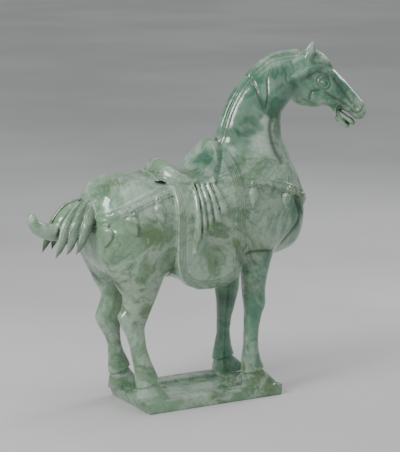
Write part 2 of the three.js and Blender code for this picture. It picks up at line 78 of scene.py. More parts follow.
headValues = {"origin": (164.1, -30.8, 446.3), "turn": 29.0, "dip": 45.9}
headRows = [
    (-19, -22, -38, 6), (-14, -9, -52, 16), (-5, -3, -63, 20.5), (8, 0, -69, 23),
    (20, 1, -68.5, 24), (31, 2, -65.5, 24), (42, 2, -59, 22), (50, 2, -51, 19.5),
    (57, 1.8, -41, 17), (66, 1.2, -33, 14.8), (76, 0.6, -28, 13.4), (86, 0, -24.5, 13),
    (94, -1.8, -23.5, 12.5), (100, -5.5, -22.5, 10), (103.5, -10, -19, 5),
]
lowerJawRows = [
    (50, -30, -44, 11), (62, -28, -37.5, 12), (71, -30, -39, 11), (79, -33, -44, 10.5),
    (88, -34.5, -44, 10), (96, -34.5, -41.5, 8.5), (100.5, -36, -39.5, 4),
]
tongueRows = [(70, -30, -36, 7), (84, -28, -35, 7.5), (96, -25.5, -33.5, 7.5), (101.5, -27, -32, 5)]

hindRight = [
    (240, -66, -152, 30, 30, 0), (215, -60, -153, 31, 30, 0), (192, -61, -146, 33, 26, 0),
    (170, -69, -134, 35, 22, 0), (150, -78.5, -123, 36.5, 16.5, 0), (137, -84.5, -126.5, 37, 13.5, 0),
    (127, -89, -131, 37.5, 12.5, 0), (117, -93.5, -128, 38, 12, 0), (105, -95.5, -121.5, 38, 11, 0),
    (90, -94, -116, 38.5, 10, 0), (71, -88.5, -112, 39, 9.5, 0), (55, -82.5, -109, 39.5, 11, 8),
    (39, -76.5, -108, 40, 13.5, 20),
]
hindLeft = [
    (240, -66, -152, 30, 30, 0), (215, -60, -153, 31, 30, 0), (190, -61, -144, 33, 26, 0),
    (165, -69, -131, 35, 22, 0), (140, -77, -118, 36.5, 16, 0), (125, -83, -122.5, 37, 13.5, 0),
    (113, -88, -127, 37.5, 12.5, 0), (103, -91.5, -123.5, 38, 12, 0), (92, -92.5, -117, 38, 11, 0),
    (80, -91.5, -111, 38.5, 10, 0), (68, -88.5, -108, 39, 9.5, 0), (53, -82.5, -108, 39.5, 11, 8),
    (39, -76.5, -108, 40, 13.5, 20),
]
foreRight = [
    (240, 104, 46, 28, 28, 0), (215, 101, 46, 31, 25, 0), (190, 94, 49, 34, 21, 0),
    (170, 87, 50, 36, 17.5, 0), (152, 82.5, 50, 37, 15, 0), (138, 81, 50.5, 37.5, 13.5, 0),
    (124, 80.5, 52, 38, 13, 0), (108, 76, 52.5, 38, 11.5, 0), (90, 72.5, 52, 38.5, 10, 0),
    (70, 71, 51, 39, 9.5, 0), (55, 73, 48.5, 39.5, 11, 4), (36, 79, 47, 40, 13.5, 10),
]
foreLeft = [
    (240, 104, 46, 28, 28, 0), (215, 101, 46, 31, 25, 0), (190, 95, 49, 34, 21, 0),
    (170, 90, 50, 36, 18, 0), (150, 87, 51, 37, 15.5, 0), (133, 86, 51.5, 37.5, 14, 0),
    (120, 83, 53, 38, 13, 0), (104, 79, 54, 38, 11.5, 0), (88, 74.5, 55, 38.5, 10, 0),
    (70, 73, 55, 39, 9.5, 0), (53, 75, 52, 39.5, 11, 4), (36, 80, 48, 40, 13.5, 10),
]
hoofRows = [
    (1.15, 11, -12, 10.5, 1), (0.9, 13, -12.5, 11, 1), (0.7, 17, -13.5, 12.3, 0.7),
    (0.35, 24, -14.5, 13.5, 0.3), (0, 30.5, -15, 14.3, 0),
]
hoofFoot = 14.0
forehoofReach = 5.0

tailRootRows = [
    (-150, 0, 252, 21, 22, 16), (-166, 0, 252, 21, 22, 16), (-180, 0, 248, 19, 20, 15),
    (-190, 0, 244, 14.5, 16, 12), (-197, 0, 240, 7, 9, 7),
]
tailStubRows = [
    (-184, 0, 237, 11, 11, 11), (-200, 0, 238, 11, 11, 11), (-214, 0, 241, 10.2, 10.2, 10.2),
    (-225, 0, 247, 8.8, 8.8, 9), (-230.5, 0, 255, 7, 7, 7.5), (-231, 0, 262, 5, 5, 5.5),
    (-229.5, 0, 266.5, 2.2, 2.2, 2.4),
]
tailLocks = [
    [(-163, -7, 273, 3, 5), (-178, -14, 264, 4.5, 7), (-192, -18, 247, 5, 7),
     (-199, -20, 230, 4.5, 6), (-204, -21, 219, 3, 3.8), (-209, -20, 209, 0.8, 1)],
    [(-159, -11, 273, 3, 5), (-171, -19, 262, 4.5, 7), (-182, -23, 246, 5, 7),
     (-188, -24, 229, 4.5, 5.5), (-191, -24, 220, 3, 3.6), (-195, -22, 212, 0.8, 1)],
    [(-155, -15, 272, 3, 5), (-162, -24, 261, 4.5, 7), (-170, -28, 245, 5, 7),
     (-176, -28, 229, 4.2, 5.5), (-179, -26, 220, 2.8, 3.4), (-183, -24, 212, 0.8, 1)],
]

saddleRows = [
    (-64, 307, 300, 16), (-61.5, 315.5, 298, 27), (-57, 320.5, 297, 34), (-51, 320.5, 296, 40),
    (-44, 314.5, 295, 43.5), (-35, 309, 294, 45), (-24, 307.5, 293, 46), (-11, 311, 292, 47),
    (1, 321, 292, 47), (10, 332.5, 293, 44.5), (16, 340, 297, 40), (22, 341, 303, 34),
    (28, 338, 311, 26), (32, 334, 321, 13),
]

blanketValues = {"thickness": 4.5, "skirtLean": 3.0, "innerHalfWidth": 50.0}
blanketOutline = [
    (33, 350), (33.5, 326), (35.5, 311), (38.5, 282), (38.5, 246), (38, 205), (36, 183), (29, 168),
    (12, 159), (-8, 156.5), (-30, 158), (-46, 165), (-56, 177), (-60, 196), (-60, 240), (-58, 273),
    (-58, 288), (-62, 295), (-68, 297), (-74, 297), (-74, 350),
]

crupperLine = [(-178, 244), (-155, 255), (-127, 267.5), (-85, 281), (-52, 287)]
breastLine = [(30, 290), (64, 287), (104, 277), (139, 262), (165, 246)]
strapValues = {"thickness": 1.6, "width": 13.0}
pendants = [
    (-151, 247, 27, 8.5, -1), (-121, 260, 25, 8.5, 4), (-82, 273, 25, 8, 3),
    (56, 281, 27, 8, -4), (109, 270, 28, 8, 2), (138, 258, 24, 6.5, 1),
]


# Reading the tables

def slopesOf(values):
    rises = np.diff(values, axis=0)
    before, after = rises[:-1], rises[1:]
    total = before + after
    steady = before * after > 0
    middle = np.where(steady, 2 * before * after / np.where(steady, total, 1), 0)
    return np.concatenate([rises[:1], middle, rises[-1:]])


def follow(rows, count):
    values = np.array(rows, float)
    slopes = slopesOf(values)
    place = np.linspace(0, len(values) - 1, count)
    index = np.minimum(place.astype(int), len(values) - 2)
    t = (place - index)[:, None]
    startShare = 2 * t**3 - 3 * t**2 + 1
    startPull = t**3 - 2 * t**2 + t
    endPull = t**3 - t**2
    return (startShare * values[index] + startPull * slopes[index]
            + (1 - startShare) * values[index + 1] + endPull * slopes[index + 1])


def followFinely(rows, columns):
    run = np.diff(np.array(rows, float)[:, columns], axis=0)
    length = np.sqrt((run**2).sum(1)).sum()
    return follow(rows, max(int(length / quality["ringStep"]), 4 * len(rows)))


def unit(v):
    return v / np.maximum(np.linalg.norm(v, axis=-1, keepdims=True), 1e-12)


def ramp(start, end, x):
    t = np.clip((x - start) / (end - start), 0, 1)
    return t * t * (3 - 2 * t)


def bell(x, width):
    return np.exp(-(x / width) ** 2)


# Skins: sections along a path, each with its own reach up, down and sideways

def skinOver(at, up, side, top, low, half, power=2.0, taper=0.0, axis=None):
    count = len(at)
    number = lambda v: np.broadcast_to(np.asarray(v, float), (count,)).copy()
    vectors = lambda v: unit(np.broadcast_to(np.asarray(v, float), (count, 3)).copy())
    up, side = vectors(up), vectors(side)
    normal = unit(np.cross(side, up))
    run = np.gradient(at, axis=0)
    normal *= np.where((normal * run).sum(1) < 0, -1, 1)[:, None]
    skin = {"at": np.asarray(at, float), "up": up, "side": side, "normal": normal, "top": number(top),
            "low": number(low), "half": number(half), "power": power, "taper": taper, "axis": axis}
    if axis is not None and at[0][axis] > at[-1][axis]:
        skin.update({key: skin[key][::-1] for key in ("at", "up", "side", "normal", "top", "low", "half")})
    wide = skin["half"] * (1 + taper)
    ends = np.concatenate([skin["at"] + skin["up"] * skin["top"][:, None],
                           skin["at"] - skin["up"] * skin["low"][:, None],
                           skin["at"] + skin["side"] * wide[:, None],
                           skin["at"] - skin["side"] * wide[:, None]])
    spare = 0.2 * max(skin["top"].max(), skin["low"].max(), wide.max())
    skin["box"] = (ends.min(0) - spare, ends.max(0) + spare)
    return skin


def stationOf(skin, p):
    at, normal, axis = skin["at"], skin["normal"], skin["axis"]
    last = len(at) - 2
    if axis is not None:
        stations = at[:, axis]
        s = p[:, axis]
        if axis == 2:  # leg sections lean, so a point's station depends on how far forward it is
            lean = skin["up"][:, 2] / skin["up"][:, 0]
            for _ in range(2):
                s = p[:, 2] - (p[:, 0] - np.interp(s, stations, at[:, 0])) * np.interp(s, stations, lean)
        index = np.clip(np.searchsorted(stations, s) - 1, 0, last)
        share = (s - stations[index]) / (stations[index + 1] - stations[index])
        past = np.maximum(np.maximum(stations[0] - s, s - stations[-1]), 0)
        return index, np.clip(share, 0, 1), past
    ahead = (p @ normal.T - (at * normal).sum(1)).astype(np.float32)
    between = (ahead[:, :-1] >= 0) & (ahead[:, 1:] < 0)
    middle = 0.5 * (at[1:] + at[:-1])
    gap = ((p**2).sum(1)[:, None] - 2 * p @ middle.T + (middle**2).sum(1)).astype(np.float32)
    index = np.where(between, gap, 1e12).argmin(1)
    found = between.any(1)
    row = np.arange(len(p))
    a, b = ahead[row, index], ahead[row, index + 1]
    share = np.where(found, a / np.where(found, a - b, 1), 0)
    before = ~found & (ahead[:, 0] < 0)
    beyond = ~found & ~before
    index = np.where(before, 0, np.where(beyond, last, index))
    share = np.where(before, 0, np.where(beyond, 1, share))
    past = np.where(before, -ahead[:, 0], np.where(beyond, np.maximum(ahead[:, -1], 0), 0))
    return index, share, past


def skinGap(skin, p):
    result = np.empty(len(p))
    for first in range(0, len(p), 40000):
        q = p[first:first + 40000]
        index, share, past = stationOf(skin, q)
        mix = lambda v: v[index] + (v[index + 1] - v[index]) * (share if v.ndim == 1 else share[:, None])
        q = q - mix(skin["at"])
        along = (q * mix(skin["up"])).sum(1)
        across = (q * mix(skin["side"])).sum(1)
        r = np.sqrt(along**2 + across**2) + 1e-9
        c, s = along / r, np.abs(across) / r + 1e-9
        rise = np.where(along > 0, mix(skin["top"]), mix(skin["low"]))
        spread = mix(skin["half"]) * (1 - skin["taper"] * c)
        c = np.abs(c) + 1e-9
        n = skin["power"]
        reach = ((c / rise)**n + (s / spread)**n) ** (-1 / n)
        bend = reach**n * (c**(n - 1) * s / rise**n - s**(n - 1) * c / spread**n)
        gap = (r - reach) / np.sqrt(1 + bend**2)
        result[first:first + 40000] = np.where(past > 0, np.hypot(np.maximum(gap, 0), past), gap)
    return result


def softMin(a, b, k):
    h = np.maximum(k - np.abs(a - b), 0)
    return np.minimum(a, b) - h * h * 0.25 / k


def softMax(a, b, k):
    return -softMin(-a, -b, k)


def unite(field, p, parts, reach):
    for skin, k in parts:
        low, high = skin["box"]
        margin = k + reach
        near = np.nonzero(((p > low - margin) & (p < high + margin)).all(1))[0]
        if len(near):
            field[near] = softMin(field[near], skinGap(skin, p[near]), k)


def lineGap(x, z, line):
    # distance to a drawn line, and how far along it the nearest place is
    best, along, run = np.full(len(x), 1e9), np.zeros(len(x)), 0.0
    for (ax, az), (bx, bz) in zip(line[:-1], line[1:]):
        dx, dz = bx - ax, bz - az
        length = math.hypot(dx, dz)
        t = np.clip(((x - ax) * dx + (z - az) * dz) / length**2, 0, 1)
        gap = np.hypot(x - ax - t * dx, z - az - t * dz)
        along = np.where(gap < best, run + t * length, along)
        best = np.minimum(best, gap)
        run += length
    return best, along, run


def outlineGap(x, z, outline):
    pts = np.asarray(outline, float)
    gap, _, _ = lineGap(x, z, np.vstack([pts, pts[:1]]))
    inside = np.zeros(len(x), bool)
    for a, b in zip(pts, np.roll(pts, -1, axis=0)):
        if abs(b[1] - a[1]) > 1e-9:
            crosses = (a[1] > z) != (b[1] > z)
            inside ^= crosses & (x < (b[0] - a[0]) * (z - a[1]) / (b[1] - a[1]) + a[0])
    return np.where(inside, -gap, gap)


def smoothLine(points, count):
    return follow(points, count)


def ellipsoidGap(q, radii):
    r = np.asarray(radii, float)
    outer = np.sqrt(((q / r)**2).sum(1))
    return outer * (outer - 1) / (np.sqrt(((q / r**2)**2).sum(1)) + 1e-9)


def boxGap(p, low, high, radius):
    middle, half = (np.array(low) + np.array(high)) / 2, (np.array(high) - np.array(low)) / 2 - radius
    q = np.abs(p - middle) - half
    return np.linalg.norm(np.maximum(q, 0), axis=1) + np.minimum(q.max(1), 0) - radius


def wavesOf(count, shortest, longest, seed):
    rng = np.random.default_rng(seed)
    way = unit(rng.normal(size=(count, 3)))
    return way * (2 * np.pi / rng.uniform(shortest, longest, count))[:, None], rng.uniform(0, 2 * np.pi, count)


def ripple(p, waves):
    ways, phases = waves
    return sum(np.sin(p @ way + phase) for way, phase in zip(ways, phases)) / math.sqrt(len(phases))


# Trunk, neck and legs

def trunkSkin():
    r = followFinely(trunkRows, [0])
    return skinOver(np.stack([r[:, 0], 0 * r[:, 0], r[:, 4]], 1), (0, 0, 1), (0, 1, 0),
                    r[:, 1] - r[:, 4], r[:, 4] - r[:, 2], r[:, 3], 2.15, axis=0)


def neckFrame(r):
    up = np.stack([r[:, 0] - r[:, 2], 0 * r[:, 0], r[:, 1] - r[:, 3]], 1)
    reach = np.linalg.norm(up, axis=1) / 2
    up = unit(up)
    turn = np.radians(r[:, 6])
    flat = np.stack([up[:, 0] * np.cos(turn), -up[:, 0] * np.sin(turn), up[:, 2]], 1)
    side = np.stack([np.sin(turn), np.cos(turn), 0 * turn], 1)
    at = np.stack([(r[:, 0] + r[:, 2]) / 2, r[:, 4], (r[:, 1] + r[:, 3]) / 2], 1)
    return at, unit(flat), side, reach


def neckSkin():
    r = followFinely(neckRows, [0, 1])
    at, up, side, reach = neckFrame(r)
    return skinOver(at, up, side, reach, reach, r[:, 5], 2.1, 0.22)


def maneSkin():
    at, up, _, reach = neckFrame(follow(neckRows, 24))
    rows = [(*place, 4.5, 4.5, 6.5) for place in at + up * (reach - 2)[:, None]]
    return sweepSkin(rows, yAxis)


def legSkin(rows, side):
    r = followFinely(rows, [0])
    tilt = np.radians(r[:, 5])
    at = np.stack([(r[:, 1] + r[:, 2]) / 2, side * r[:, 3], r[:, 0]], 1)
    up = np.stack([np.cos(tilt), 0 * tilt, np.sin(tilt)], 1)
    reach = (r[:, 1] - r[:, 2]) / 2
    return skinOver(at, up, (0, 1, 0), reach, reach, r[:, 4], 2.1, axis=2)


def hoofSkin(rows, side, forward):
    rim = rows[-1]
    r = follow(hoofRows, 24)
    tilt = np.radians(rim[5] * r[:, 4])
    front = r[:, 1] + forward * (1.15 - r[:, 0])
    at = np.stack([(rim[1] + rim[2]) / 2 + (front + r[:, 2]) / 2, 0 * front + side * rim[3],
                   hoofFoot + (rim[0] - hoofFoot) * r[:, 0]], 1)
    up = np.stack([np.cos(tilt), 0 * tilt, np.sin(tilt)], 1)
    reach = (front - r[:, 2]) / 2
    return skinOver(at, up, (0, 1, 0), reach, reach, r[:, 3], 2.5, axis=2)


# Head

dip, turn = math.radians(headValues["dip"]), math.radians(headValues["turn"])
headOrigin = np.array(headValues["origin"])
noseLine = np.array([math.cos(dip) * math.cos(turn), -math.cos(dip) * math.sin(turn), -math.sin(dip)])
headSide = np.array([math.sin(turn), math.cos(turn), 0.0])
browLine = np.cross(noseLine, headSide)
headFrame = np.stack([noseLine, browLine, headSide])
yAxis = np.array([0.0, 1.0, 0.0])


def onHead(along, out, left):
    return headOrigin + noseLine * along + browLine * out + headSide * left


def headSkin(rows, power, taper):
    r = followFinely(rows, [0])
    at = headOrigin + np.outer(r[:, 0], noseLine) + np.outer((r[:, 1] + r[:, 2]) / 2, browLine)
    reach = (r[:, 1] - r[:, 2]) / 2
    return skinOver(at, browLine, headSide, reach, reach, r[:, 3], power, taper)


# rows of x, y, z, reach above, reach below and half width
def sweepSkin(rows, sideHint, power=2.0):
    r = followFinely(rows, [0, 1, 2])
    run = unit(np.gradient(r[:, :3], axis=0))
    side = unit(sideHint - run * (run @ sideHint)[:, None])
    return skinOver(r[:, :3], np.cross(run, side), side, r[:, 3], r[:, 4], r[:, 5], power)


def headRope(rows):
    return sweepSkin([(*onHead(a, o, left), wide, wide, thick) for a, o, left, wide, thick in rows], headSide)


def tailRope(lock, side):
    return sweepSkin([(x, -side * y, z, wide, wide, thick) for x, y, z, thick, wide in lock], yAxis)


bodyParts = [(trunkSkin(), 1.0), (neckSkin(), 16.0)]
hoofParts = []
for side in (-1, 1):
    hind, fore = (hindRight, foreRight) if side < 0 else (hindLeft, foreLeft)
    bodyParts += [(legSkin(hind, side), 9.0), (legSkin(fore, side), 8.0)]
    hoofParts += [(hoofSkin(hind, side, 0.0), 0.8), (hoofSkin(fore, side, forehoofReach), 0.8)]
headParts = [(headSkin(headRows, 2.3, 0.08), 7.0), (headSkin(lowerJawRows, 2.3, 0.0), 3.0),
             (headSkin(tongueRows, 2.6, 0.0), 1.0)]
tailParts = [(sweepSkin(tailRootRows, yAxis), 8.0), (sweepSkin(tailStubRows, yAxis), 3.0)]
tailParts += [(tailRope(lock, side), 1.0) for side in (-1, 1) for lock in tailLocks]
hairParts = [(maneSkin(), 1.2)]
for side in (-1, 1):
    hairParts += [
        (headRope([(-1, -24, side * 13, 5.5, 4), (-6, -10, side * 13, 6.2, 4.2), (-9.5, -1, side * 12.5, 4.8, 3.4),
                   (-12, 4, side * 12, 2.6, 2), (-12.8, 6.6, side * 12, 0.8, 0.8)]), 1.5),
        (headRope([(14, -9, side * 18, 4, 3), (8, -19, side * 22 - 0.5, 5, 4), (4, -31, side * 23.5 - 2, 5.5, 4.5),
                   (0, -43, side * 23 - 4.5, 4.8, 4.5), (-6, -53, side * 22 - 7, 3, 3.5),
                   (-10, -60, side * 20 - 8, 0.8, 1)]), 1.5),
    ]
for left in (-6, 0, 6):
    hairParts.append((headRope([(-8, -3, left, 3, 3.4), (4, 1, left, 3.4, 3.8), (16, 2, left * 1.1, 2.8, 3.4),
                                (27, 1, left * 1.2, 1, 1.4)]), 1.0))


# Swellings (positive) and hollows (negative) of the body: x, y, z, spread in x, y, z, amount.
# Each is worked on both sides.
muscleRows = [
    (-122, 0, 304, 36, 8, 16, -4.2), (-118, 24, 300, 34, 13, 16, 1.2),
    (-162, 0, 222, 16, 6, 34, -7.0), (-150, 26, 225, 16, 14, 30, 1.2),
    (-64, 62, 214, 8, 14, 34, -2.6), (-92, 60, 214, 26, 12, 34, 1.4),
    (-104, 52, 168, 20, 12, 16, 1.2), (78, 58, 250, 26, 12, 32, 1.6),
    (158, 0, 232, 10, 5, 34, -3.0), (128, 34, 262, 14, 10, 18, 1.0),
    (118, 36, 206, 12, 9, 18, -1.6), (86, 30, 330, 12, 10, 16, 0.9),
    (108, 30, 300, 9, 10, 34, -1.4),
    (-129, 37, 131, 5, 9, 6, 1.8), (-96, 47, 112, 9, 6, 7, -1.6), (-107, 47, 132, 10, 7, 8, 1.0),
    (-115, 38, 108, 6, 12, 7, -1.0), (-100, 40, 60, 7, 12, 9, 0.5),
    (80, 38, 127, 6, 9, 8, 1.4), (66, 48, 126, 9, 5, 9, 0.9), (66, 48, 108, 9, 6, 7, -1.0),
    (54, 38, 112, 5, 9, 8, -0.8), (74, 38, 168, 9, 12, 12, 1.0), (52, 38, 168, 6, 10, 12, 1.0),
    (66, 50, 182, 16, 6, 9, -2.2),
]


def muscles(p):
    swell = np.zeros(len(p))
    x, y, z = p[:, 0], np.abs(p[:, 1]), p[:, 2]
    for cx, cy, cz, rx, ry, rz, amount in muscleRows:
        near = np.nonzero((np.abs(x - cx) < 2.2 * rx) & (np.abs(y - cy) < 2.2 * ry) & (np.abs(z - cz) < 2.2 * rz))[0]
        q = ((x[near] - cx) / rx)**2 + ((y[near] - cy) / ry)**2 + ((z[near] - cz) / rz)**2
        swell[near] += amount * np.exp(-q)
    return swell


# Saddle, blanket and the tied cloth

saddleTable = follow(saddleRows, 80)
saddlePart = skinOver(np.stack([saddleTable[:, 0], 0 * saddleTable[:, 0], saddleTable[:, 2]], 1), (0, 0, 1),
                      (0, 1, 0), saddleTable[:, 1] - saddleTable[:, 2], 12.0, saddleTable[:, 3], 1.85, axis=0)
trunkTable = follow(trunkRows, 200)


def drapedGap(p):
    # how far a point is from cloth hung over the bare trunk: an arch above, nearly upright skirts below
    x, y, z = p.T
    back, half, middle = [np.interp(x, trunkTable[:, 0], trunkTable[:, column]) for column in (1, 3, 4)]
    r = np.hypot(y, z - middle) + 1e-9
    c, s = np.maximum((z - middle) / r, 0) + 1e-9, np.abs(y) / r + 1e-9
    rise, n = back - middle, 2.15
    reach = ((c / rise)**n + (s / half)**n) ** (-1 / n)
    bend = reach**n * (c**(n - 1) * s / rise**n - s**(n - 1) * c / half**n)
    lean = blanketValues["skirtLean"] * np.clip((middle - z) / 85, 0, 1)
    return np.where(z > middle, (r - reach) / np.sqrt(1 + bend**2), np.abs(y) - half + lean)


clothValues = {
    "fallTop": 297.0, "lift": 4.2, "grooveDepth": 2.2, "hemRound": 2.5, "flapLift": 1.4, "knotLift": 8.5,
    "edges": [(-31, -40, 202), (-25, -28, 220), (-19, -19, 230), (-12, -9, 240), (-6, 1.5, 250), (0, 13.5, 262)],
    "lobes": [(-35.5, 208, 3.2), (-22.5, 226, 4.4), (-12.5, 236, 4.6), (-2.5, 247, 4.8), (8.5, 256.5, 5.4)],
    "flap": [(-57, 292), (-26, 296), (-30, 250), (-42, 252), (-57, 258)],
    "knot": [(-35, 301), (-20, 297), (-3, 297), (3, 303), (4, 292), (-5, 290), (-22, 291), (-36, 295)],
}


def clothHeight(x, z):
    v = clothValues
    height = v["flapLift"] * ramp(0.4, -0.6, outlineGap(x, z, v["flap"]))
    reach = np.maximum(v["fallTop"] - z, 0)
    for (topA, footA, lowA), (topB, footB, lowB), lobe in zip(v["edges"][:-1], v["edges"][1:], v["lobes"]):
        a = topA + (footA - topA) * reach / (v["fallTop"] - lowA)
        b = topB + (footB - topB) * reach / (v["fallTop"] - lowB)
        u = (x - a) / np.maximum(b - a, 1)
        quad = outlineGap(x, z, [(topA, v["fallTop"]), (footA, lowA), (footB, lowB), (topB, v["fallTop"])])
        disc = np.hypot(x - lobe[0], z - lobe[1]) - lobe[2]
        inside = -softMin(quad, disc, 1.5)
        crown = 1 - v["grooveDepth"] / v["lift"] * np.clip(np.abs(2 * u - 1), 0, 1) ** 3
        flute = v["lift"] * crown * ramp(-0.2, v["hemRound"], inside) ** 0.6
        height = np.maximum(height, np.where(inside > -0.2, flute, 0))
    knot = v["knotLift"] - blanketValues["thickness"]
    return np.maximum(height, knot * ramp(0.5, -2.2, outlineGap(x, z, v["knot"])) ** 0.6)


# Straps, studs and pendants on the body

trappingValues = {
    "strapHeight": 1.6, "strapWidth": 13.0, "pendantHeight": 2.8, "studRadius": 4.2, "studHeight": 2.6,
    "ringSpacing": 8.5, "ringRadius": 2.3,
}
strapLines = [smoothLine(crupperLine, 11), smoothLine(breastLine, 11)]


def leafOutline(x, top, drop, half, lean):
    t = np.linspace(0, 1, 9)[:, None]
    curve = lambda a, b, c, d: (1 - t)**3 * a + 3 * (1 - t)**2 * t * b + 3 * (1 - t) * t**2 * c + t**3 * d
    crown, tip = np.array([x, top]), np.array([x + lean, top - drop])
    sideA = curve(crown, np.array([x + half, top + 2]), np.array([x + half + 3, top - drop * 0.45]), tip)
    sideB = curve(tip, np.array([x - half - 3, top - drop * 0.45]), np.array([x - half, top + 2]), crown)
    return np.vstack([sideA[:-1], sideB[:-1]])


def trappingHeight(x, z):
    v = trappingValues
    height = np.zeros(len(x))
    for row in pendants:
        px, top, drop, half, lean = row
        near = np.nonzero((np.abs(x - px) < half + 8) & (z < top + 6) & (z > top - drop - 6))[0]
        if len(near):
            gap = outlineGap(x[near], z[near], leafOutline(*row))
            keel = np.abs(x[near] - px - lean * (top - z[near]) / drop)
            leaf = v["pendantHeight"] * ramp(0.3, -2.2, gap) + 0.7 * bell(keel, 1.6) * ramp(0, -3, gap)
            moat = -0.9 * bell(gap - 1.3, 1.4)
            height[near] = np.where(gap < 0.3, leaf, moat)
    for line in strapLines:
        near = np.nonzero((x > line[0][0] - 9) & (x < line[-1][0] + 9) & (z > 230) & (z < 305))[0]
        gap, _, _ = lineGap(x[near], z[near], line)
        strap = v["strapHeight"] * ramp(0.5, -0.6, gap - v["strapWidth"] / 2)
        height[near] = np.where(strap > 0, np.maximum(height[near], strap), height[near])
    for px, top, _, _, _ in pendants:
        r = np.hypot(x - px, z - top - 5)
        near = r < v["studRadius"] + 2
        ring = v["studHeight"] * ramp(v["studRadius"] + 0.4, v["studRadius"] - 1.2, r) - 2.4 * bell(r, 1.5)
        height = np.where(near, np.maximum(height, ring + v["strapHeight"]), height)
    return height


# The whole field, and the fine work that is drawn on its surface

def horseField(p, reach=3.0):
    f = np.full(len(p), 60.0)
    x, y, z = p.T
    unite(f, p, bodyParts, reach)
    near = np.nonzero(np.abs(f) < reach + 12)[0]
    f[near] -= muscles(p[near])
    near = np.nonzero((np.abs(f) < reach + 6) & (z > 210) & (z < 305) & (np.abs(x) < 175) & (np.abs(y) > 4))[0]
    if len(near):
        f[near] -= trappingHeight(x[near], z[near]) * ramp(4, 12, np.abs(y[near]))
    unite(f, p, headParts, reach)
    near = np.nonzero((x > 120) & (z > 330) & (f < reach + 12))[0]
    if len(near):
        f[near] = faceCut(f[near], p[near])
    unite(f, p, hairParts, reach)
    unite(f, p, tailParts, reach)
    near = np.nonzero((x > -90) & (x < 55) & (z > 145) & (f > -reach - 12))[0]
    if len(near):
        q = p[near]
        draped = drapedGap(q) - blanketValues["thickness"]
        low = draped < reach + 12
        draped[low] -= clothHeight(q[low, 0], q[low, 2])
        blanket = softMax(draped, outlineGap(q[:, 0], q[:, 2], blanketOutline), 1.5)
        under = np.maximum(np.abs(q[:, 1]) - blanketValues["innerHalfWidth"], q[:, 2] - 170)
        f[near] = softMin(f[near], softMax(blanket, -under, 1.5), 0.6)
    unite(f, p, [(saddlePart, 0.8)], reach)
    unite(f, p, hoofParts, reach)
    near = np.nonzero(z < hoofFoot + 12)[0]
    if len(near):
        f[near] = softMin(f[near], plinthGap(p[near]), 0.8)
    return f


def faceCut(f, p):
    q = (p - headOrigin) @ headFrame.T
    q[:, 2] = np.abs(q[:, 2])
    eye = ellipsoidGap(q - np.array([31.6, -19.6, 20.6]), (4.8, 3.7, 4.2))
    f = softMin(f, eye, 0.8)
    nostril = ellipsoidGap(q - np.array([85.5, -12.0, 13.5]), (4.0, 2.4, 3.0))
    f = softMax(f, -nostril, 1.2)
    mouthHole = ellipsoidGap(q - np.array([79.5, -30.5, 13.0]), (3.8, 3.0, 5.5))
    return softMax(f, -mouthHole, 1.0)


def plinthGap(p):
    v = plinthValues
    rear = -v["length"] / 2 + v["rearCutBack"] * np.clip(1 - p[:, 2] / v["height"], 0, 1)
    slab = boxGap(p, (-v["length"] / 2, -v["width"] / 2, 0), (v["length"] / 2, v["width"] / 2, v["height"]), 1.2)
    slab = softMax(slab, rear - p[:, 0], 1.0)
    panel = boxGap(p, (v["panelRear"], -v["panelHalfWidth"], v["height"] - v["panelDepth"]),
                   (v["panelFront"], v["panelHalfWidth"], 40), 1.5)
    return softMax(slab, -panel, 1.5)


# Lines cut into the surface, seen from the side: points x, z, width, depth
bodyLines = [
    ([(45, 193), (56, 196.5), (70, 197), (84, 195.5), (97, 189)], 1.7, 2.0),
    ([(45, 316), (75, 315.5), (103, 308)], 1.0, 0.45),
    ([(71, 424), (74, 407), (76, 394), (81.5, 376)], 1.3, 1.3),
    ([(90, 421), (87.5, 408), (86, 393), (82.5, 376)], 1.3, 1.3),
    ([(92, 372), (88, 352), (92, 330), (104, 306)], 3.2, 1.3),
    ([(119, 268), (130, 252), (134.5, 234), (123, 218), (104, 200)], 2.6, 1.5),
    ([(-166, 236), (-158, 214), (-150, 196), (-138, 178), (-126, 162)], 1.6, 1.3),
    ([(-163, 214), (-150, 192), (-136, 170), (-126, 150)], 1.3, 1.0),
]
# The same on the head: distance along the nose line, height towards the brow
faceLines = [
    ([(36, -28), (33, -33), (29, -38), (31, -44), (36, -49)], 1.4, 1.5),
    ([(3, -50), (8, -59), (15, -65)], 1.6, 1.6),
    ([(26, -55), (36, -51), (46, -46)], 1.3, 0.7),
    ([(36, -6.5), (52, -8.5), (68, -10.5), (80, -13)], 1.9, 1.3),
    ([(40, -27), (54, -24), (66, -20), (76, -18.5), (82, -18)], 1.8, 1.2),
    ([(90, -4), (93.5, -9), (92, -15), (86, -18.5), (80, -17)], 1.3, 1.2),
    ([(69, -25.5), (76, -26.8), (86, -25.6), (96, -23.6)], 1.1, 1.6),
    ([(68, -24), (70.5, -31), (75, -36.5), (81, -39)], 1.2, 1.2),
    ([(64, -23), (66, -32), (71, -38.5)], 1.1, 0.8),
    ([(84, -34), (92, -35), (99, -36.5)], 1.0, 1.3),
    ([(17, -16), (22, -11.5), (29, -9.5), (36, -12.5)], 1.4, 1.0),
]
faceRidges = [
    ([(38, -3.5), (60, -5), (88, -7.5)], 2.2, 0.9),
    ([(18, -13), (23, -8.5), (30, -6.5), (37, -9)], 2.0, 1.2),
    ([(42, -22), (54, -20), (66, -17)], 2.6, 1.0),
    ([(66, -29), (71, -36), (79, -41.5)], 1.8, 0.9),
]
smoothed = lambda lines: [(smoothLine(points, 4 * len(points) - 3), width, depth) for points, width, depth in lines]
bodyLines, faceLines, faceRidges = smoothed(bodyLines), smoothed(faceLines), smoothed(faceRidges)

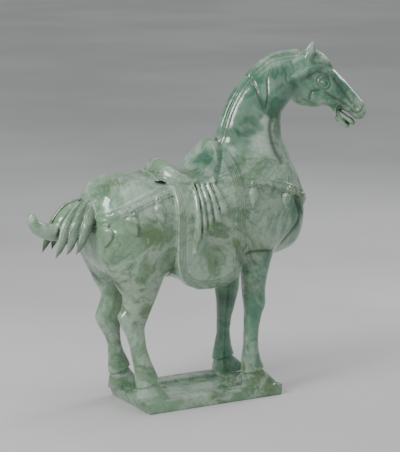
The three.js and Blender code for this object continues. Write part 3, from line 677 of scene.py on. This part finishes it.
carvingValues = {
    "borderLines": (2.6, 5.2, 7.8, 10.6), "borderWidth": 0.75, "borderDepth": 0.75,
    "strapLines": (1.5, 3.5), "strapDepth": 0.6,
    "strokeDepth": 0.32, "strokeSlant": 24.0, "rippleHeight": 0.22, "hairDepth": 0.9,
    "maneEdges": (7.4, 11.6),
}
neckPart = neckSkin()
broadWaves = wavesOf(26, 14, 46, 3)


def cutLines(x, z, lines, taper=9.0):
    cut = np.zeros(len(x))
    for line, width, depth in lines:
        low, high = line.min(0) - 3 * width, line.max(0) + 3 * width
        near = np.nonzero((x > low[0]) & (x < high[0]) & (z > low[1]) & (z < high[1]))[0]
        if len(near):
            gap, along, length = lineGap(x[near], z[near], line)
            ends = np.clip(np.minimum(along, length - along) / taper, 0, 1) ** 0.5
            cut[near] = np.maximum(cut[near], depth * bell(gap, width) * ends)
    return cut


def hairLines():
    lines = []
    for lock in tailLocks:
        path = follow([(x, z, wide) for x, y, z, thick, wide in lock], 14)
        run = unit(np.gradient(path[:, :2], axis=0))
        for share in (-0.62, -0.3, 0.02, 0.34, 0.66):
            line = path[:, :2] + np.stack([-run[:, 1], run[:, 0]], 1) * (share * path[:, 2])[:, None]
            lines.append((line, 0.75, carvingValues["hairDepth"]))
    return lines


tailLines = hairLines()
rootLines = [(smoothLine([(-152 - 3 * k, 276 - 1.2 * k), (-166 - 4.5 * k, 268 - 3 * k), (-176 - 5 * k, 254 - 3 * k)], 9),
              0.8, 0.8) for k in range(5)]


def blanketPlace(p):
    # distance in from the blanket's edge where a point is on the blanket's face, and -1 elsewhere
    place = np.full(len(p), -1.0)
    near = np.nonzero((p[:, 0] > -78) & (p[:, 0] < 42) & (p[:, 2] > 150))[0]
    q = p[near]
    face = np.abs(drapedGap(q) - blanketValues["thickness"] - clothHeight(q[:, 0], q[:, 2])) < 1.9
    clear = skinGap(saddlePart, q) > 0.6
    edge = -outlineGap(q[:, 0], q[:, 2], blanketOutline)
    place[near] = np.where(face & clear & (edge > 0), edge, -1)
    return place


def strapPlace(p):
    place = np.full(len(p), -1.0)
    x, z = p[:, 0], p[:, 2]
    free = ~((x > -62) & (x < 40))
    for line in strapLines:
        near = np.nonzero(free & (x > line[0][0] - 8) & (x < line[-1][0] + 8) & (z > 232) & (z < 304))[0]
        gap, along, _ = lineGap(x[near], z[near], line)
        edge = trappingValues["strapWidth"] / 2 - gap
        place[near] = np.where(edge > 0, np.maximum(edge, place[near]), place[near])
    return place


def strapRings(p):
    ring = np.zeros(len(p))
    v = trappingValues
    x, z = p[:, 0], p[:, 2]
    for line in strapLines:
        near = np.nonzero((x > line[0][0]) & (x < line[-1][0]) & (z > 232) & (z < 304))[0]
        gap, along, length = lineGap(x[near], z[near], line)
        step = (along + 0.5 * v["ringSpacing"]) % v["ringSpacing"] - 0.5 * v["ringSpacing"]
        ring[near] = np.maximum(ring[near], bell(np.hypot(gap, step) - v["ringRadius"], 0.7))
    clear = np.ones(len(p))
    for px, top, _, _, _ in pendants:
        clear *= ramp(v["studRadius"] + 1, v["studRadius"] + 3, np.hypot(x - px, z - top - 5))
    return ring * clear


def carving(p):
    # height of the fine work over the smooth form, and how deep its cuts are
    v = carvingValues
    x, y, z = p.T
    cut = np.zeros(len(p))
    rise = np.zeros(len(p))
    onBody = (z > 140) & (np.abs(y) > 5) & (x < 150)
    cut[onBody] = cutLines(x[onBody], z[onBody], bodyLines)
    blanket = blanketPlace(p)
    on = blanket > 0
    cut[on] = 0
    cloth = np.zeros(len(p))
    cloth[on] = clothHeight(x[on], z[on])
    bare = on & (cloth < 0.3)
    for place in v["borderLines"]:
        cut[bare] = np.maximum(cut[bare], v["borderDepth"] * bell(blanket[bare] - place, v["borderWidth"]))
    slant = math.radians(v["strokeSlant"])
    across = z * math.cos(slant) - x * math.sin(slant)
    length = z * math.sin(slant) + x * math.cos(slant)
    strokes = (np.sin(2.1 * across + 1.3 * np.sin(0.17 * length)) + np.sin(1.37 * across + 0.23 * length)
               + np.sin(2.9 * across - 0.16 * length)) / 3
    field = ramp(12, 15, blanket) * (cloth < 0.3)
    rise += v["strokeDepth"] * strokes * field
    strap = strapPlace(p)
    onStrap = (strap > 0) & ~on & (np.abs(y) > 8)
    for place in v["strapLines"]:
        cut[onStrap] = np.maximum(cut[onStrap], v["strapDepth"] * bell(strap[onStrap] - place, 0.6))
    rise[onStrap] += 0.55 * strapRings(p[onStrap])
    tail = (x < -150) & (z > 205) & (np.abs(y) > 3)
    cut[tail] = np.maximum(cut[tail], cutLines(x[tail], z[tail], tailLines, 4))
    root = (x < -150) & (z > 240) & (np.abs(y) < 26)
    cut[root] = np.maximum(cut[root], cutLines(x[root], z[root], rootLines, 4))
    neck = np.nonzero((x > 28) & (z > 325) & (x < 150))[0]
    index, share, past = stationOf(neckPart, p[neck])
    q = p[neck] - neckPart["at"][index] - (neckPart["at"][index + 1] - neckPart["at"][index]) * share[:, None]
    along, across = (q * neckPart["up"][index]).sum(1), np.abs((q * neckPart["side"][index]).sum(1))
    upper = ramp(0.45, 0.7, along / neckPart["top"][index]) * (past == 0) * ramp(150, 128, x[neck])
    for place, depth in zip(v["maneEdges"], (1.1, 0.7)):
        cut[neck] = np.maximum(cut[neck], depth * bell(across - place, 1.3) * upper)
    head = np.nonzero((x > 130) & (z > 335))[0]
    q = (p[head] - headOrigin) @ headFrame.T
    aside = ramp(5, 9, np.abs(q[:, 2]))
    cut[head] = np.maximum(cut[head], cutLines(q[:, 0], q[:, 1], faceLines, 4) * aside)
    ridge = cutLines(q[:, 0], q[:, 1], faceRidges, 8)
    lid = np.hypot((q[:, 0] - 31.6) / 1.3, q[:, 1] + 19.6)
    rise[head] += ridge * aside + (0.9 * bell(lid - 5.6, 1.0) - 0.8 * bell(lid - 4.2, 0.8)) * aside
    cut[head] = np.maximum(cut[head], 0.8 * bell(lid - 7.6, 0.9) * aside)
    rise += v["rippleHeight"] * ripple(p, broadWaves) * ramp(2, 8, z)
    return rise - cut, cut


# Mesh from the field: a grid filled finely only near the surface, then a surface net

def fillGrid(field, low, high, step, levels):
    cell = step * 2**levels
    shape = np.ceil((high - low) / cell).astype(int) + 1
    axes = [low[i] + np.arange(shape[i]) * cell for i in range(3)]
    nodes = np.stack(np.meshgrid(*axes, indexing="ij"), -1).reshape(-1, 3)
    value = field(nodes, 1.2 * cell).reshape(shape).astype(np.float32)
    for _ in range(levels):
        corners = [value[i:shape[0] - 1 + i, j:shape[1] - 1 + j, k:shape[2] - 1 + k]
                   for i in (0, 1) for j in (0, 1) for k in (0, 1)]
        least = np.minimum.reduce([np.abs(c) for c in corners])
        sign = sum((c < 0).astype(np.int8) for c in corners)
        close = np.argwhere((least < 0.95 * cell) | ((sign > 0) & (sign < 8))) * 2
        cell /= 2
        shape = shape * 2 - 1
        fine = np.empty(shape, np.float32)
        for i in (0, 1):
            for j in (0, 1):
                for k in (0, 1):
                    part = fine[i::2, j::2, k::2]
                    part[...] = value[:part.shape[0], :part.shape[1], :part.shape[2]]
        wanted = np.zeros(shape, bool)
        for i in range(3):
            for j in range(3):
                for k in range(3):
                    wanted[close[:, 0] + i, close[:, 1] + j, close[:, 2] + k] = True
        wanted[::2, ::2, ::2] = False
        places = np.argwhere(wanted)
        for first in range(0, len(places), 250000):
            some = places[first:first + 250000]
            fine[some[:, 0], some[:, 1], some[:, 2]] = field(low + some * cell, 1.2 * cell)
        note(f"{len(places)} places at {cell:.1f} mm")
        value = fine
    return value


def surfaceNet(grid, low, step):
    inside = grid < 0
    n0, n1, n2 = [s - 1 for s in grid.shape]
    corners = [(i, j, k) for i in (0, 1) for j in (0, 1) for k in (0, 1)]
    total = np.zeros((n0, n1, n2), np.int8)
    for i, j, k in corners:
        total += inside[i:n0 + i, j:n1 + j, k:n2 + k]
    cells = np.argwhere((total > 0) & (total < 8))
    number = np.full((n0, n1, n2), -1, np.int32)
    number[tuple(cells.T)] = np.arange(len(cells))
    summed, hits = np.zeros((len(cells), 3)), np.zeros(len(cells))
    for a in corners:
        for axis in range(3):
            if a[axis]:
                continue
            b = tuple(a[m] + (m == axis) for m in range(3))
            ga = grid[cells[:, 0] + a[0], cells[:, 1] + a[1], cells[:, 2] + a[2]]
            gb = grid[cells[:, 0] + b[0], cells[:, 1] + b[1], cells[:, 2] + b[2]]
            cut = (ga < 0) != (gb < 0)
            t = np.where(cut, ga / np.where(cut, ga - gb, 1), 0)
            place = np.array(a, float) + t[:, None] * (np.array(b) - np.array(a))
            summed += np.where(cut[:, None], place, 0)
            hits += cut
    verts = low + (cells + summed / hits[:, None]) * step
    quads = []
    for axis in range(3):
        u, v = (axis + 1) % 3, (axis + 2) % 3
        lower = tuple(slice(0, -1) if m == axis else slice(None) for m in range(3))
        upper = tuple(slice(1, None) if m == axis else slice(None) for m in range(3))
        edges = np.argwhere(inside[lower] != inside[upper])
        out = inside[tuple(edges.T)]
        du, dv = np.zeros(3, int), np.zeros(3, int)
        du[u], dv[v] = 1, 1
        quad = np.stack([number[tuple((edges - d).T)] for d in (du + dv, dv, 0 * du, du)], 1)
        quad[~out] = quad[~out][:, ::-1]
        quads.append(quad)
    return verts, np.concatenate(quads)


def slopeOf(field, p, reach=0.4):
    slope = np.empty_like(p)
    for axis in range(3):
        d = np.zeros(3)
        d[axis] = reach
        slope[:, axis] = (field(p + d) - field(p - d)) / (2 * reach)
    return slope


def gridSlope(grid, low, step, p):
    # slope of the field at points near the surface, read from the grid
    place = (p - low) / step
    base = np.floor(place).astype(int)
    t = place - base
    slope = np.zeros_like(p)
    for i in (0, 1):
        for j in (0, 1):
            for k in (0, 1):
                value = grid[base[:, 0] + i, base[:, 1] + j, base[:, 2] + k]
                wx, wy, wz = [t[:, m] if (i, j, k)[m] else 1 - t[:, m] for m in range(3)]
                slope[:, 0] += (1 if i else -1) * value * wy * wz
                slope[:, 1] += (1 if j else -1) * value * wx * wz
                slope[:, 2] += (1 if k else -1) * value * wx * wy
    return slope / step


def meshObject(name, verts, faces):
    mesh = bpy.data.meshes.new(name)
    mesh.vertices.add(len(verts))
    mesh.vertices.foreach_set("co", (verts * 0.001).astype(np.float32).ravel())
    width = faces.shape[1]
    mesh.loops.add(faces.size)
    mesh.loops.foreach_set("vertex_index", faces.astype(np.int32).ravel())
    mesh.polygons.add(len(faces))
    mesh.polygons.foreach_set("loop_start", np.arange(0, faces.size, width, dtype=np.int32))
    mesh.update(calc_edges=True)
    mesh.shade_smooth()
    obj = bpy.data.objects.new(name, mesh)
    bpy.context.scene.collection.objects.link(obj)
    return obj


note("reading the form")
gridLow = np.array([-243.0, -78.5, -3.0])
gridHigh = np.array([231.0, 78.5, 466.0])
step = quality["gridStep"]
grid = fillGrid(horseField, gridLow, gridHigh, step, 3)
note("grid filled")
verts, quads = surfaceNet(grid, gridLow, step)
note(f"surface net of {len(verts)} points")
outward = unit(gridSlope(grid, gridLow, step, verts))
height, _ = carving(verts)
verts += outward * height[:, None]
verts[:, 2] = np.maximum(verts[:, 2], 0)
note("fine work carved")
horse = meshObject("horseFigure", verts, quads)
triangles = 2 * len(quads)
if triangles > quality["trianglesMost"]:
    dense = horse
    horse = dense.copy()
    bpy.context.scene.collection.objects.link(horse)
    thin = horse.modifiers.new("thin", "DECIMATE")
    thin.ratio = quality["trianglesMost"] / triangles
    normals = horse.modifiers.new("normals", "DATA_TRANSFER")
    normals.object = dense
    normals.use_loop_data = True
    normals.data_types_loops = {"CUSTOM_NORMAL"}
    normals.loop_mapping = "POLYINTERP_NEAREST"
    thinned = bpy.data.meshes.new_from_object(
        horse.evaluated_get(bpy.context.evaluated_depsgraph_get()))
    horse.modifiers.clear()
    horse.data = thinned
    bpy.data.objects.remove(dense)
    horse.name = "horseFigure"
note(f"mesh of {len(horse.data.polygons)} faces")

# Marks for the material: how deep a point lies in a cut, how shut in it is (the material paints shade from this), and
# where it is on the cloth

marks = np.empty(3 * len(horse.data.vertices), np.float32)
horse.data.vertices.foreach_get("co", marks)
points = marks.reshape(-1, 3).astype(float) * 1000
horse.data.vertices.foreach_get("normal", marks)
facing = marks.reshape(-1, 3).astype(float)
_, cutDepth = carving(points)
# how shut in each point is, read from the field a little way out along its normal; stored as the hollow mark and
# painted as shade
paintedShadeAmount = np.zeros(len(points))
for reach, weight in ((2.2, 0.3), (5.0, 0.35), (11.0, 0.35)):
    paintedShadeAmount += weight * np.clip(1 - horseField(points + facing * reach, reach) / reach, 0, 1)
for name, values in (("cut", np.clip(cutDepth / 1.1, 0, 1)), ("hollow", paintedShadeAmount), ("edgeWay", blanketPlace(points)),
                     ("strapWay", strapPlace(points))):
    layer = horse.data.attributes.new(name, "FLOAT", "POINT")
    layer.data.foreach_set("value", values.astype(np.float32))
note("marks written")


# Nodes

def add(tree, kind, inputs=(), **settings):
    node = tree.nodes.new("ShaderNode" + kind)
    for name, value in settings.items():
        setattr(node, name, value)
    for name, value in dict(inputs).items():
        if isinstance(value, bpy.types.NodeSocket):
            tree.links.new(value, node.inputs[name])
        else:
            node.inputs[name].default_value = value
    return node


def maths(tree, operation, a, b=0.0, c=0.0):
    return add(tree, "Math", {0: a, 1: b, 2: c}, operation=operation).outputs[0]


def spread(tree, value, low, high, start=0.0, end=1.0):
    return add(tree, "MapRange", {"Value": value, "From Min": low, "From Max": high, "To Min": start, "To Max": end},
               interpolation_type="SMOOTHSTEP").outputs["Result"]


def blend(tree, factor, a, b):
    node = add(tree, "Mix", {0: factor, 6: a, 7: b}, data_type="RGBA")
    return node.outputs[2]


def noise(tree, place, scale, detail=4.0, roughness=0.55, distortion=0.0):
    return add(tree, "TexNoise", {"Vector": place, "Scale": scale, "Detail": detail, "Roughness": roughness,
                                  "Distortion": distortion}).outputs["Fac"]


def newGroup(name, inputs, outputs):
    tree = bpy.data.node_groups.new(name, "ShaderNodeTree")
    for label, kind, value in inputs:
        socket = tree.interface.new_socket(label, in_out="INPUT", socket_type=kind)
        if value is not None:
            socket.default_value = value
    for label, kind in outputs:
        tree.interface.new_socket(label, in_out="OUTPUT", socket_type=kind)
    return tree, tree.nodes.new("NodeGroupInput").outputs, tree.nodes.new("NodeGroupOutput").inputs


def useGroup(tree, group, inputs):
    node = tree.nodes.new("ShaderNodeGroup")
    node.node_tree = group
    for name, value in inputs.items():
        if isinstance(value, bpy.types.NodeSocket):
            tree.links.new(value, node.inputs[name])
        else:
            node.inputs[name].default_value = value
    return node.outputs


numberSocket, vectorSocket = "NodeSocketFloat", "NodeSocketVector"


def mottleGroup():
    # clouds, a net of fine veins, small specks and pale drifts, each from 0 to 1
    tree, given, result = newGroup("mottle", [("Place", vectorSocket, None), ("Scale", numberSocket, 1.0)],
                                   [(label, numberSocket) for label in ("Cloud", "Vein", "Speck", "Pale", "Grain")])
    place = add(tree, "VectorMath", {0: given["Place"], 3: given["Scale"]}, operation="SCALE").outputs[0]
    bend = add(tree, "TexNoise", {"Vector": place, "Scale": 14.0, "Detail": 3.0}).outputs["Color"]
    bend = add(tree, "VectorMath", {0: bend, 1: (0.5, 0.5, 0.5)}, operation="SUBTRACT").outputs[0]
    bend = add(tree, "VectorMath", {0: bend, 3: 0.05}, operation="SCALE").outputs[0]
    bent = add(tree, "VectorMath", {0: place, 1: bend}, operation="ADD").outputs[0]
    link = tree.links.new
    link(spread(tree, noise(tree, bent, 16.0, 6.0, 0.62), 0.40, 0.64), result["Cloud"])
    ridge = maths(tree, "ABSOLUTE", maths(tree, "SUBTRACT", noise(tree, bent, 34.0, 5.0, 0.6, 0.6), 0.5))
    near = spread(tree, noise(tree, place, 22.0, 2.0), 0.42, 0.62)
    link(maths(tree, "MULTIPLY", spread(tree, ridge, 0.055, 0.004), near), result["Vein"])
    dots = noise(tree, bent, 120.0, 4.0, 0.65)
    link(maths(tree, "MULTIPLY", spread(tree, dots, 0.54, 0.68), spread(tree, noise(tree, place, 18.0, 3.0), 0.44, 0.6)),
         result["Speck"])
    drift = maths(tree, "ABSOLUTE", maths(tree, "SUBTRACT", noise(tree, bent, 12.0, 4.0, 0.6, 1.2), 0.5))
    link(spread(tree, drift, 0.09, 0.015), result["Pale"])
    link(noise(tree, place, 260.0, 3.0, 0.6), result["Grain"])
    return tree


def patchGroup():
    # a torn round patch about a centre
    tree, given, result = newGroup("patch", [("Place", vectorSocket, None), ("Centre", vectorSocket, (0, 0, 0)),
                                             ("Radius", numberSocket, 0.03), ("Edge", numberSocket, 0.5)],
                                   [("Mask", numberSocket)])
    gap = add(tree, "VectorMath", {0: given["Place"], 1: given["Centre"]}, operation="DISTANCE").outputs["Value"]
    ragged = maths(tree, "SUBTRACT", noise(tree, given["Place"], 42.0, 5.0, 0.62), 0.5)
    gap = maths(tree, "DIVIDE", gap, given["Radius"])
    gap = maths(tree, "MULTIPLY_ADD", ragged, 2.6, gap)
    tree.links.new(spread(tree, gap, maths(tree, "ADD", 1.0, given["Edge"]), maths(tree, "SUBTRACT", 1.0, given["Edge"])),
                   result["Mask"])
    return tree


def polishGroup():
    # roughness and normal of stone polished by hand: fine waves, small scratches, a duller film in the cuts
    tree, given, result = newGroup("handPolish", [("Place", vectorSocket, None), ("Dull", numberSocket, 0.0),
                                                  ("Low", numberSocket, 0.12), ("High", numberSocket, 0.45)],
                                   [("Roughness", numberSocket), ("Normal", vectorSocket)])
    place = given["Place"]
    smear = spread(tree, noise(tree, place, 30.0, 4.0, 0.6), 0.35, 0.7, 0.0, 0.35)
    stretched = add(tree, "Mapping", {"Vector": place, "Rotation": (0.3, 0.5, 0.2), "Scale": (30, 420, 420)}).outputs[0]
    scratch = spread(tree, noise(tree, stretched, 1.0, 2.0), 0.6, 0.78, 0.0, 0.3)
    share = maths(tree, "MAXIMUM", maths(tree, "ADD", smear, scratch), given["Dull"])
    rough = add(tree, "MapRange", {"Value": share, "From Min": 0.0, "From Max": 1.0, "To Min": given["Low"],
                                   "To Max": given["High"]}).outputs["Result"]
    tree.links.new(rough, result["Roughness"])
    wave = maths(tree, "ADD", noise(tree, place, 55.0, 2.0), maths(tree, "MULTIPLY", noise(tree, place, 320.0, 2.0), 0.12))
    bump = add(tree, "Bump", {"Height": wave, "Strength": 0.35, "Distance": 0.0012})
    tree.links.new(bump.outputs["Normal"], result["Normal"])
    return tree


def linesGroup():
    # thin lines at three distances in from an edge
    tree, given, result = newGroup("edgeLines", [("Way", numberSocket, 0.0), ("Width", numberSocket, 0.8),
                                                 ("Lines", vectorSocket, (2, 4, 6))], [("Mask", numberSocket)])
    split = add(tree, "SeparateXYZ", {0: given["Lines"]}).outputs
    mask = 0.0
    for k in range(3):
        gap = maths(tree, "ABSOLUTE", maths(tree, "SUBTRACT", given["Way"], split[k]))
        mask = maths(tree, "MAXIMUM", mask, spread(tree, gap, given["Width"], 0.0))
    tree.links.new(mask, result["Mask"])
    return tree


stoneValues = {
    "base": (0.215, 0.345, 0.225, 1), "olive": (0.125, 0.205, 0.095, 1), "white": (0.43, 0.53, 0.44, 1),
    # the last tone on the next line darkens the cut lines and is also the painted shade in hollows
    "emerald": (0.045, 0.185, 0.115, 1), "deep": (0.022, 0.095, 0.06, 1), "cutAndShadeTone": (0.03, 0.05, 0.025, 1),
    # deep emerald patches of the stone on the neck, head, near foreleg and pommel; the patches on the chest front, the
    # far foreleg, and the far fore hoof with the plinth beside it are painted shade
    "emerald and shade patches": [((0.060, -0.030, 0.385), 0.055), ((0.100, -0.040, 0.405), 0.045), ((0.150, -0.040, 0.415), 0.035),
                     ((0.182, -0.060, 0.405), 0.028), ((0.085, -0.040, 0.100), 0.050), ((0.075, -0.040, 0.165), 0.026),
                     ((0.010, -0.030, 0.315), 0.026), ((0.135, -0.020, 0.235), 0.036), ((0.070, 0.045, 0.080), 0.060),
                     ((0.055, -0.030, 0.345), 0.028), ((0.090, 0.020, 0.010), 0.030)],
    # whitish clouds of the stone, except the patch at the forehead, which is a painted highlight
    "pale and highlight patches": [((0.078, -0.045, 0.335), 0.017), ((0.085, -0.045, 0.358), 0.010), ((0.165, -0.03, 0.45), 0.016),
                      ((0.205, -0.06, 0.425), 0.018), ((-0.10, -0.05, 0.285), 0.022), ((0.218, -0.07, 0.395), 0.010)],
    "roughness": (0.13, 0.5),
}


def stoneMaterial():
    v = stoneValues
    material = bpy.data.materials.new("greenHardstone")
    material.use_nodes = True
    tree = material.node_tree
    shader = tree.nodes["Principled BSDF"]
    place = add(tree, "TexCoord").outputs["Object"]
    mark = lambda name: add(tree, "Attribute", attribute_name=name).outputs["Fac"]
    mottle = useGroup(tree, mottleGroup(), {"Place": place})
    patch = patchGroup()
    colour = blend(tree, mottle["Cloud"], v["base"], v["olive"])
    colour = blend(tree, maths(tree, "MULTIPLY", mottle["Pale"], 0.55), colour, v["white"])

    def patches(rows, edge):
        mask = 0.0
        for centre, radius in rows:
            mask = maths(tree, "MAXIMUM", mask, useGroup(tree, patch, {"Place": place, "Centre": centre, "Radius": radius,
                                                                      "Edge": edge})["Mask"])
        return mask

    # emerald patches of the stone, and painted shade on the chest front, the far foreleg and round the far fore hoof
    dark = patches(v["emerald and shade patches"], 0.45)
    green = blend(tree, mottle["Cloud"], v["emerald"], v["deep"])
    green = blend(tree, maths(tree, "MULTIPLY", mottle["Pale"], 0.35), green, v["base"])
    colour = blend(tree, maths(tree, "MULTIPLY", dark, 0.85), colour, green)
    # whitish clouds of the stone, with a painted highlight at the forehead
    colour = blend(tree, maths(tree, "MULTIPLY", patches(v["pale and highlight patches"], 0.35), 0.75), colour, v["white"])
    colour = blend(tree, maths(tree, "MULTIPLY", mottle["Vein"], 0.45), colour, v["deep"])
    colour = blend(tree, maths(tree, "MULTIPLY", mottle["Speck"], 0.55), colour, v["olive"])
    grain = spread(tree, mottle["Grain"], 0.35, 0.7, 0.0, 0.22)
    colour = blend(tree, grain, colour, v["deep"])
    lines = useGroup(tree, linesGroup(), {"Way": mark("edgeWay"), "Lines": (2.6, 5.2, 7.8)})["Mask"]
    cut = maths(tree, "MAXIMUM", mark("cut"), maths(tree, "MULTIPLY", lines, 0.6))
    # cut lines and the blanket's border lines drawn darker, and painted shade in hollows from the hollow mark, both
    # blended towards one tone
    cutAndShadeMask = maths(tree, "MAXIMUM", maths(tree, "MULTIPLY", cut, 0.72),
                    spread(tree, mark("hollow"), 0.34, 0.8, 0.0, 0.8))
    colour = blend(tree, cutAndShadeMask, colour, v["cutAndShadeTone"])
    polish = useGroup(tree, polishGroup(), {"Place": place, "Dull": cutAndShadeMask, "Low": v["roughness"][0],
                                            "High": v["roughness"][1]})
    for socket, value in (("Base Color", colour), ("Roughness", polish["Roughness"]), ("Normal", polish["Normal"])):
        tree.links.new(value, shader.inputs[socket])
    shader.inputs["IOR"].default_value = 1.55
    shader.inputs["Coat Weight"].default_value = 0.35
    shader.inputs["Coat Roughness"].default_value = 0.05
    return material


horse.data.materials.append(stoneMaterial())
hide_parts("horse_figure")
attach(horse, "root")
note("stone made")

# Floor, lights and camera

cameraValues = {"azimuth": -29.02, "elevation": 11.13, "distance": 2.5, "target": (0.0068, 0.0, 0.2263), "lens": 153.2}


def fromAngles(azimuth, elevation, distance):
    a, e = math.radians(azimuth), math.radians(elevation)
    return Vector((math.sin(a) * math.cos(e), -math.cos(a) * math.cos(e), math.sin(e))) * distance


def placeCamera():
    v = cameraValues
    away = fromAngles(v["azimuth"], v["elevation"], v["distance"])
    data = bpy.data.cameras.new("photoView")
    data.lens = v["lens"]
    data.sensor_width = 36
    camera = bpy.data.objects.new("photoView", data)
    bpy.context.scene.collection.objects.link(camera)
    camera.location = Vector(v["target"]) + away
    camera.rotation_euler = away.to_track_quat("Z", "Y").to_euler()
    bpy.context.scene.camera = camera


placeCamera()

floorValues = {"half": 14.0, "pale": (0.62, 0.62, 0.61, 1), "shade": (0.54, 0.54, 0.53, 1)}


def paperMaterial():
    material = bpy.data.materials.new("palePaper")
    material.use_nodes = True
    tree = material.node_tree
    place = add(tree, "TexCoord").outputs["Object"]
    cloud = spread(tree, noise(tree, place, 1.3, 3.0), 0.35, 0.65)
    fibre = noise(tree, place, 900.0, 2.0)
    shader = tree.nodes["Principled BSDF"]
    tree.links.new(blend(tree, cloud, floorValues["pale"], floorValues["shade"]), shader.inputs["Base Color"])
    tree.links.new(spread(tree, fibre, 0.3, 0.7, 0.82, 0.95), shader.inputs["Roughness"])
    bump = add(tree, "Bump", {"Height": fibre, "Strength": 0.1, "Distance": 0.0003})
    tree.links.new(bump.outputs["Normal"], shader.inputs["Normal"])
    return material


half = floorValues["half"]
floorMesh = bpy.data.meshes.new("floor")
floorMesh.from_pydata([(-half, -half, 0), (half, -half, 0), (half, half, 0), (-half, half, 0)], [], [(0, 1, 2, 3)])
floor = bpy.data.objects.new("floor", floorMesh)
bpy.context.scene.collection.objects.link(floor)
floor.data.materials.append(paperMaterial())

# azimuth and elevation as seen from the figure, distance, size, power
lightRows = {
    "windowLeft": (-76, 31, 1.5, 0.55, 17), "windowRight": (104, 34, 1.6, 0.6, 9),
    "top": (-20, 78, 1.8, 1.2, 9), "front": (-12, 22, 2.2, 1.6, 5),
}


def softLight(name, azimuth, elevation, distance, size, power):
    data = bpy.data.lights.new(name, "AREA")
    data.size = size
    data.energy = power
    light = bpy.data.objects.new(name, data)
    bpy.context.scene.collection.objects.link(light)
    away = fromAngles(azimuth, elevation, distance)
    light.location = Vector((0, 0, 0.25)) + away
    light.rotation_euler = away.to_track_quat("Z", "Y").to_euler()


for name, row in lightRows.items():
    softLight(name, *row)
world = bpy.context.scene.world or bpy.data.worlds.new("room")
bpy.context.scene.world = world
world.use_nodes = True
world.node_tree.nodes["Background"].inputs["Color"].default_value = (0.80, 0.82, 0.84, 1)
world.node_tree.nodes["Background"].inputs["Strength"].default_value = 0.55

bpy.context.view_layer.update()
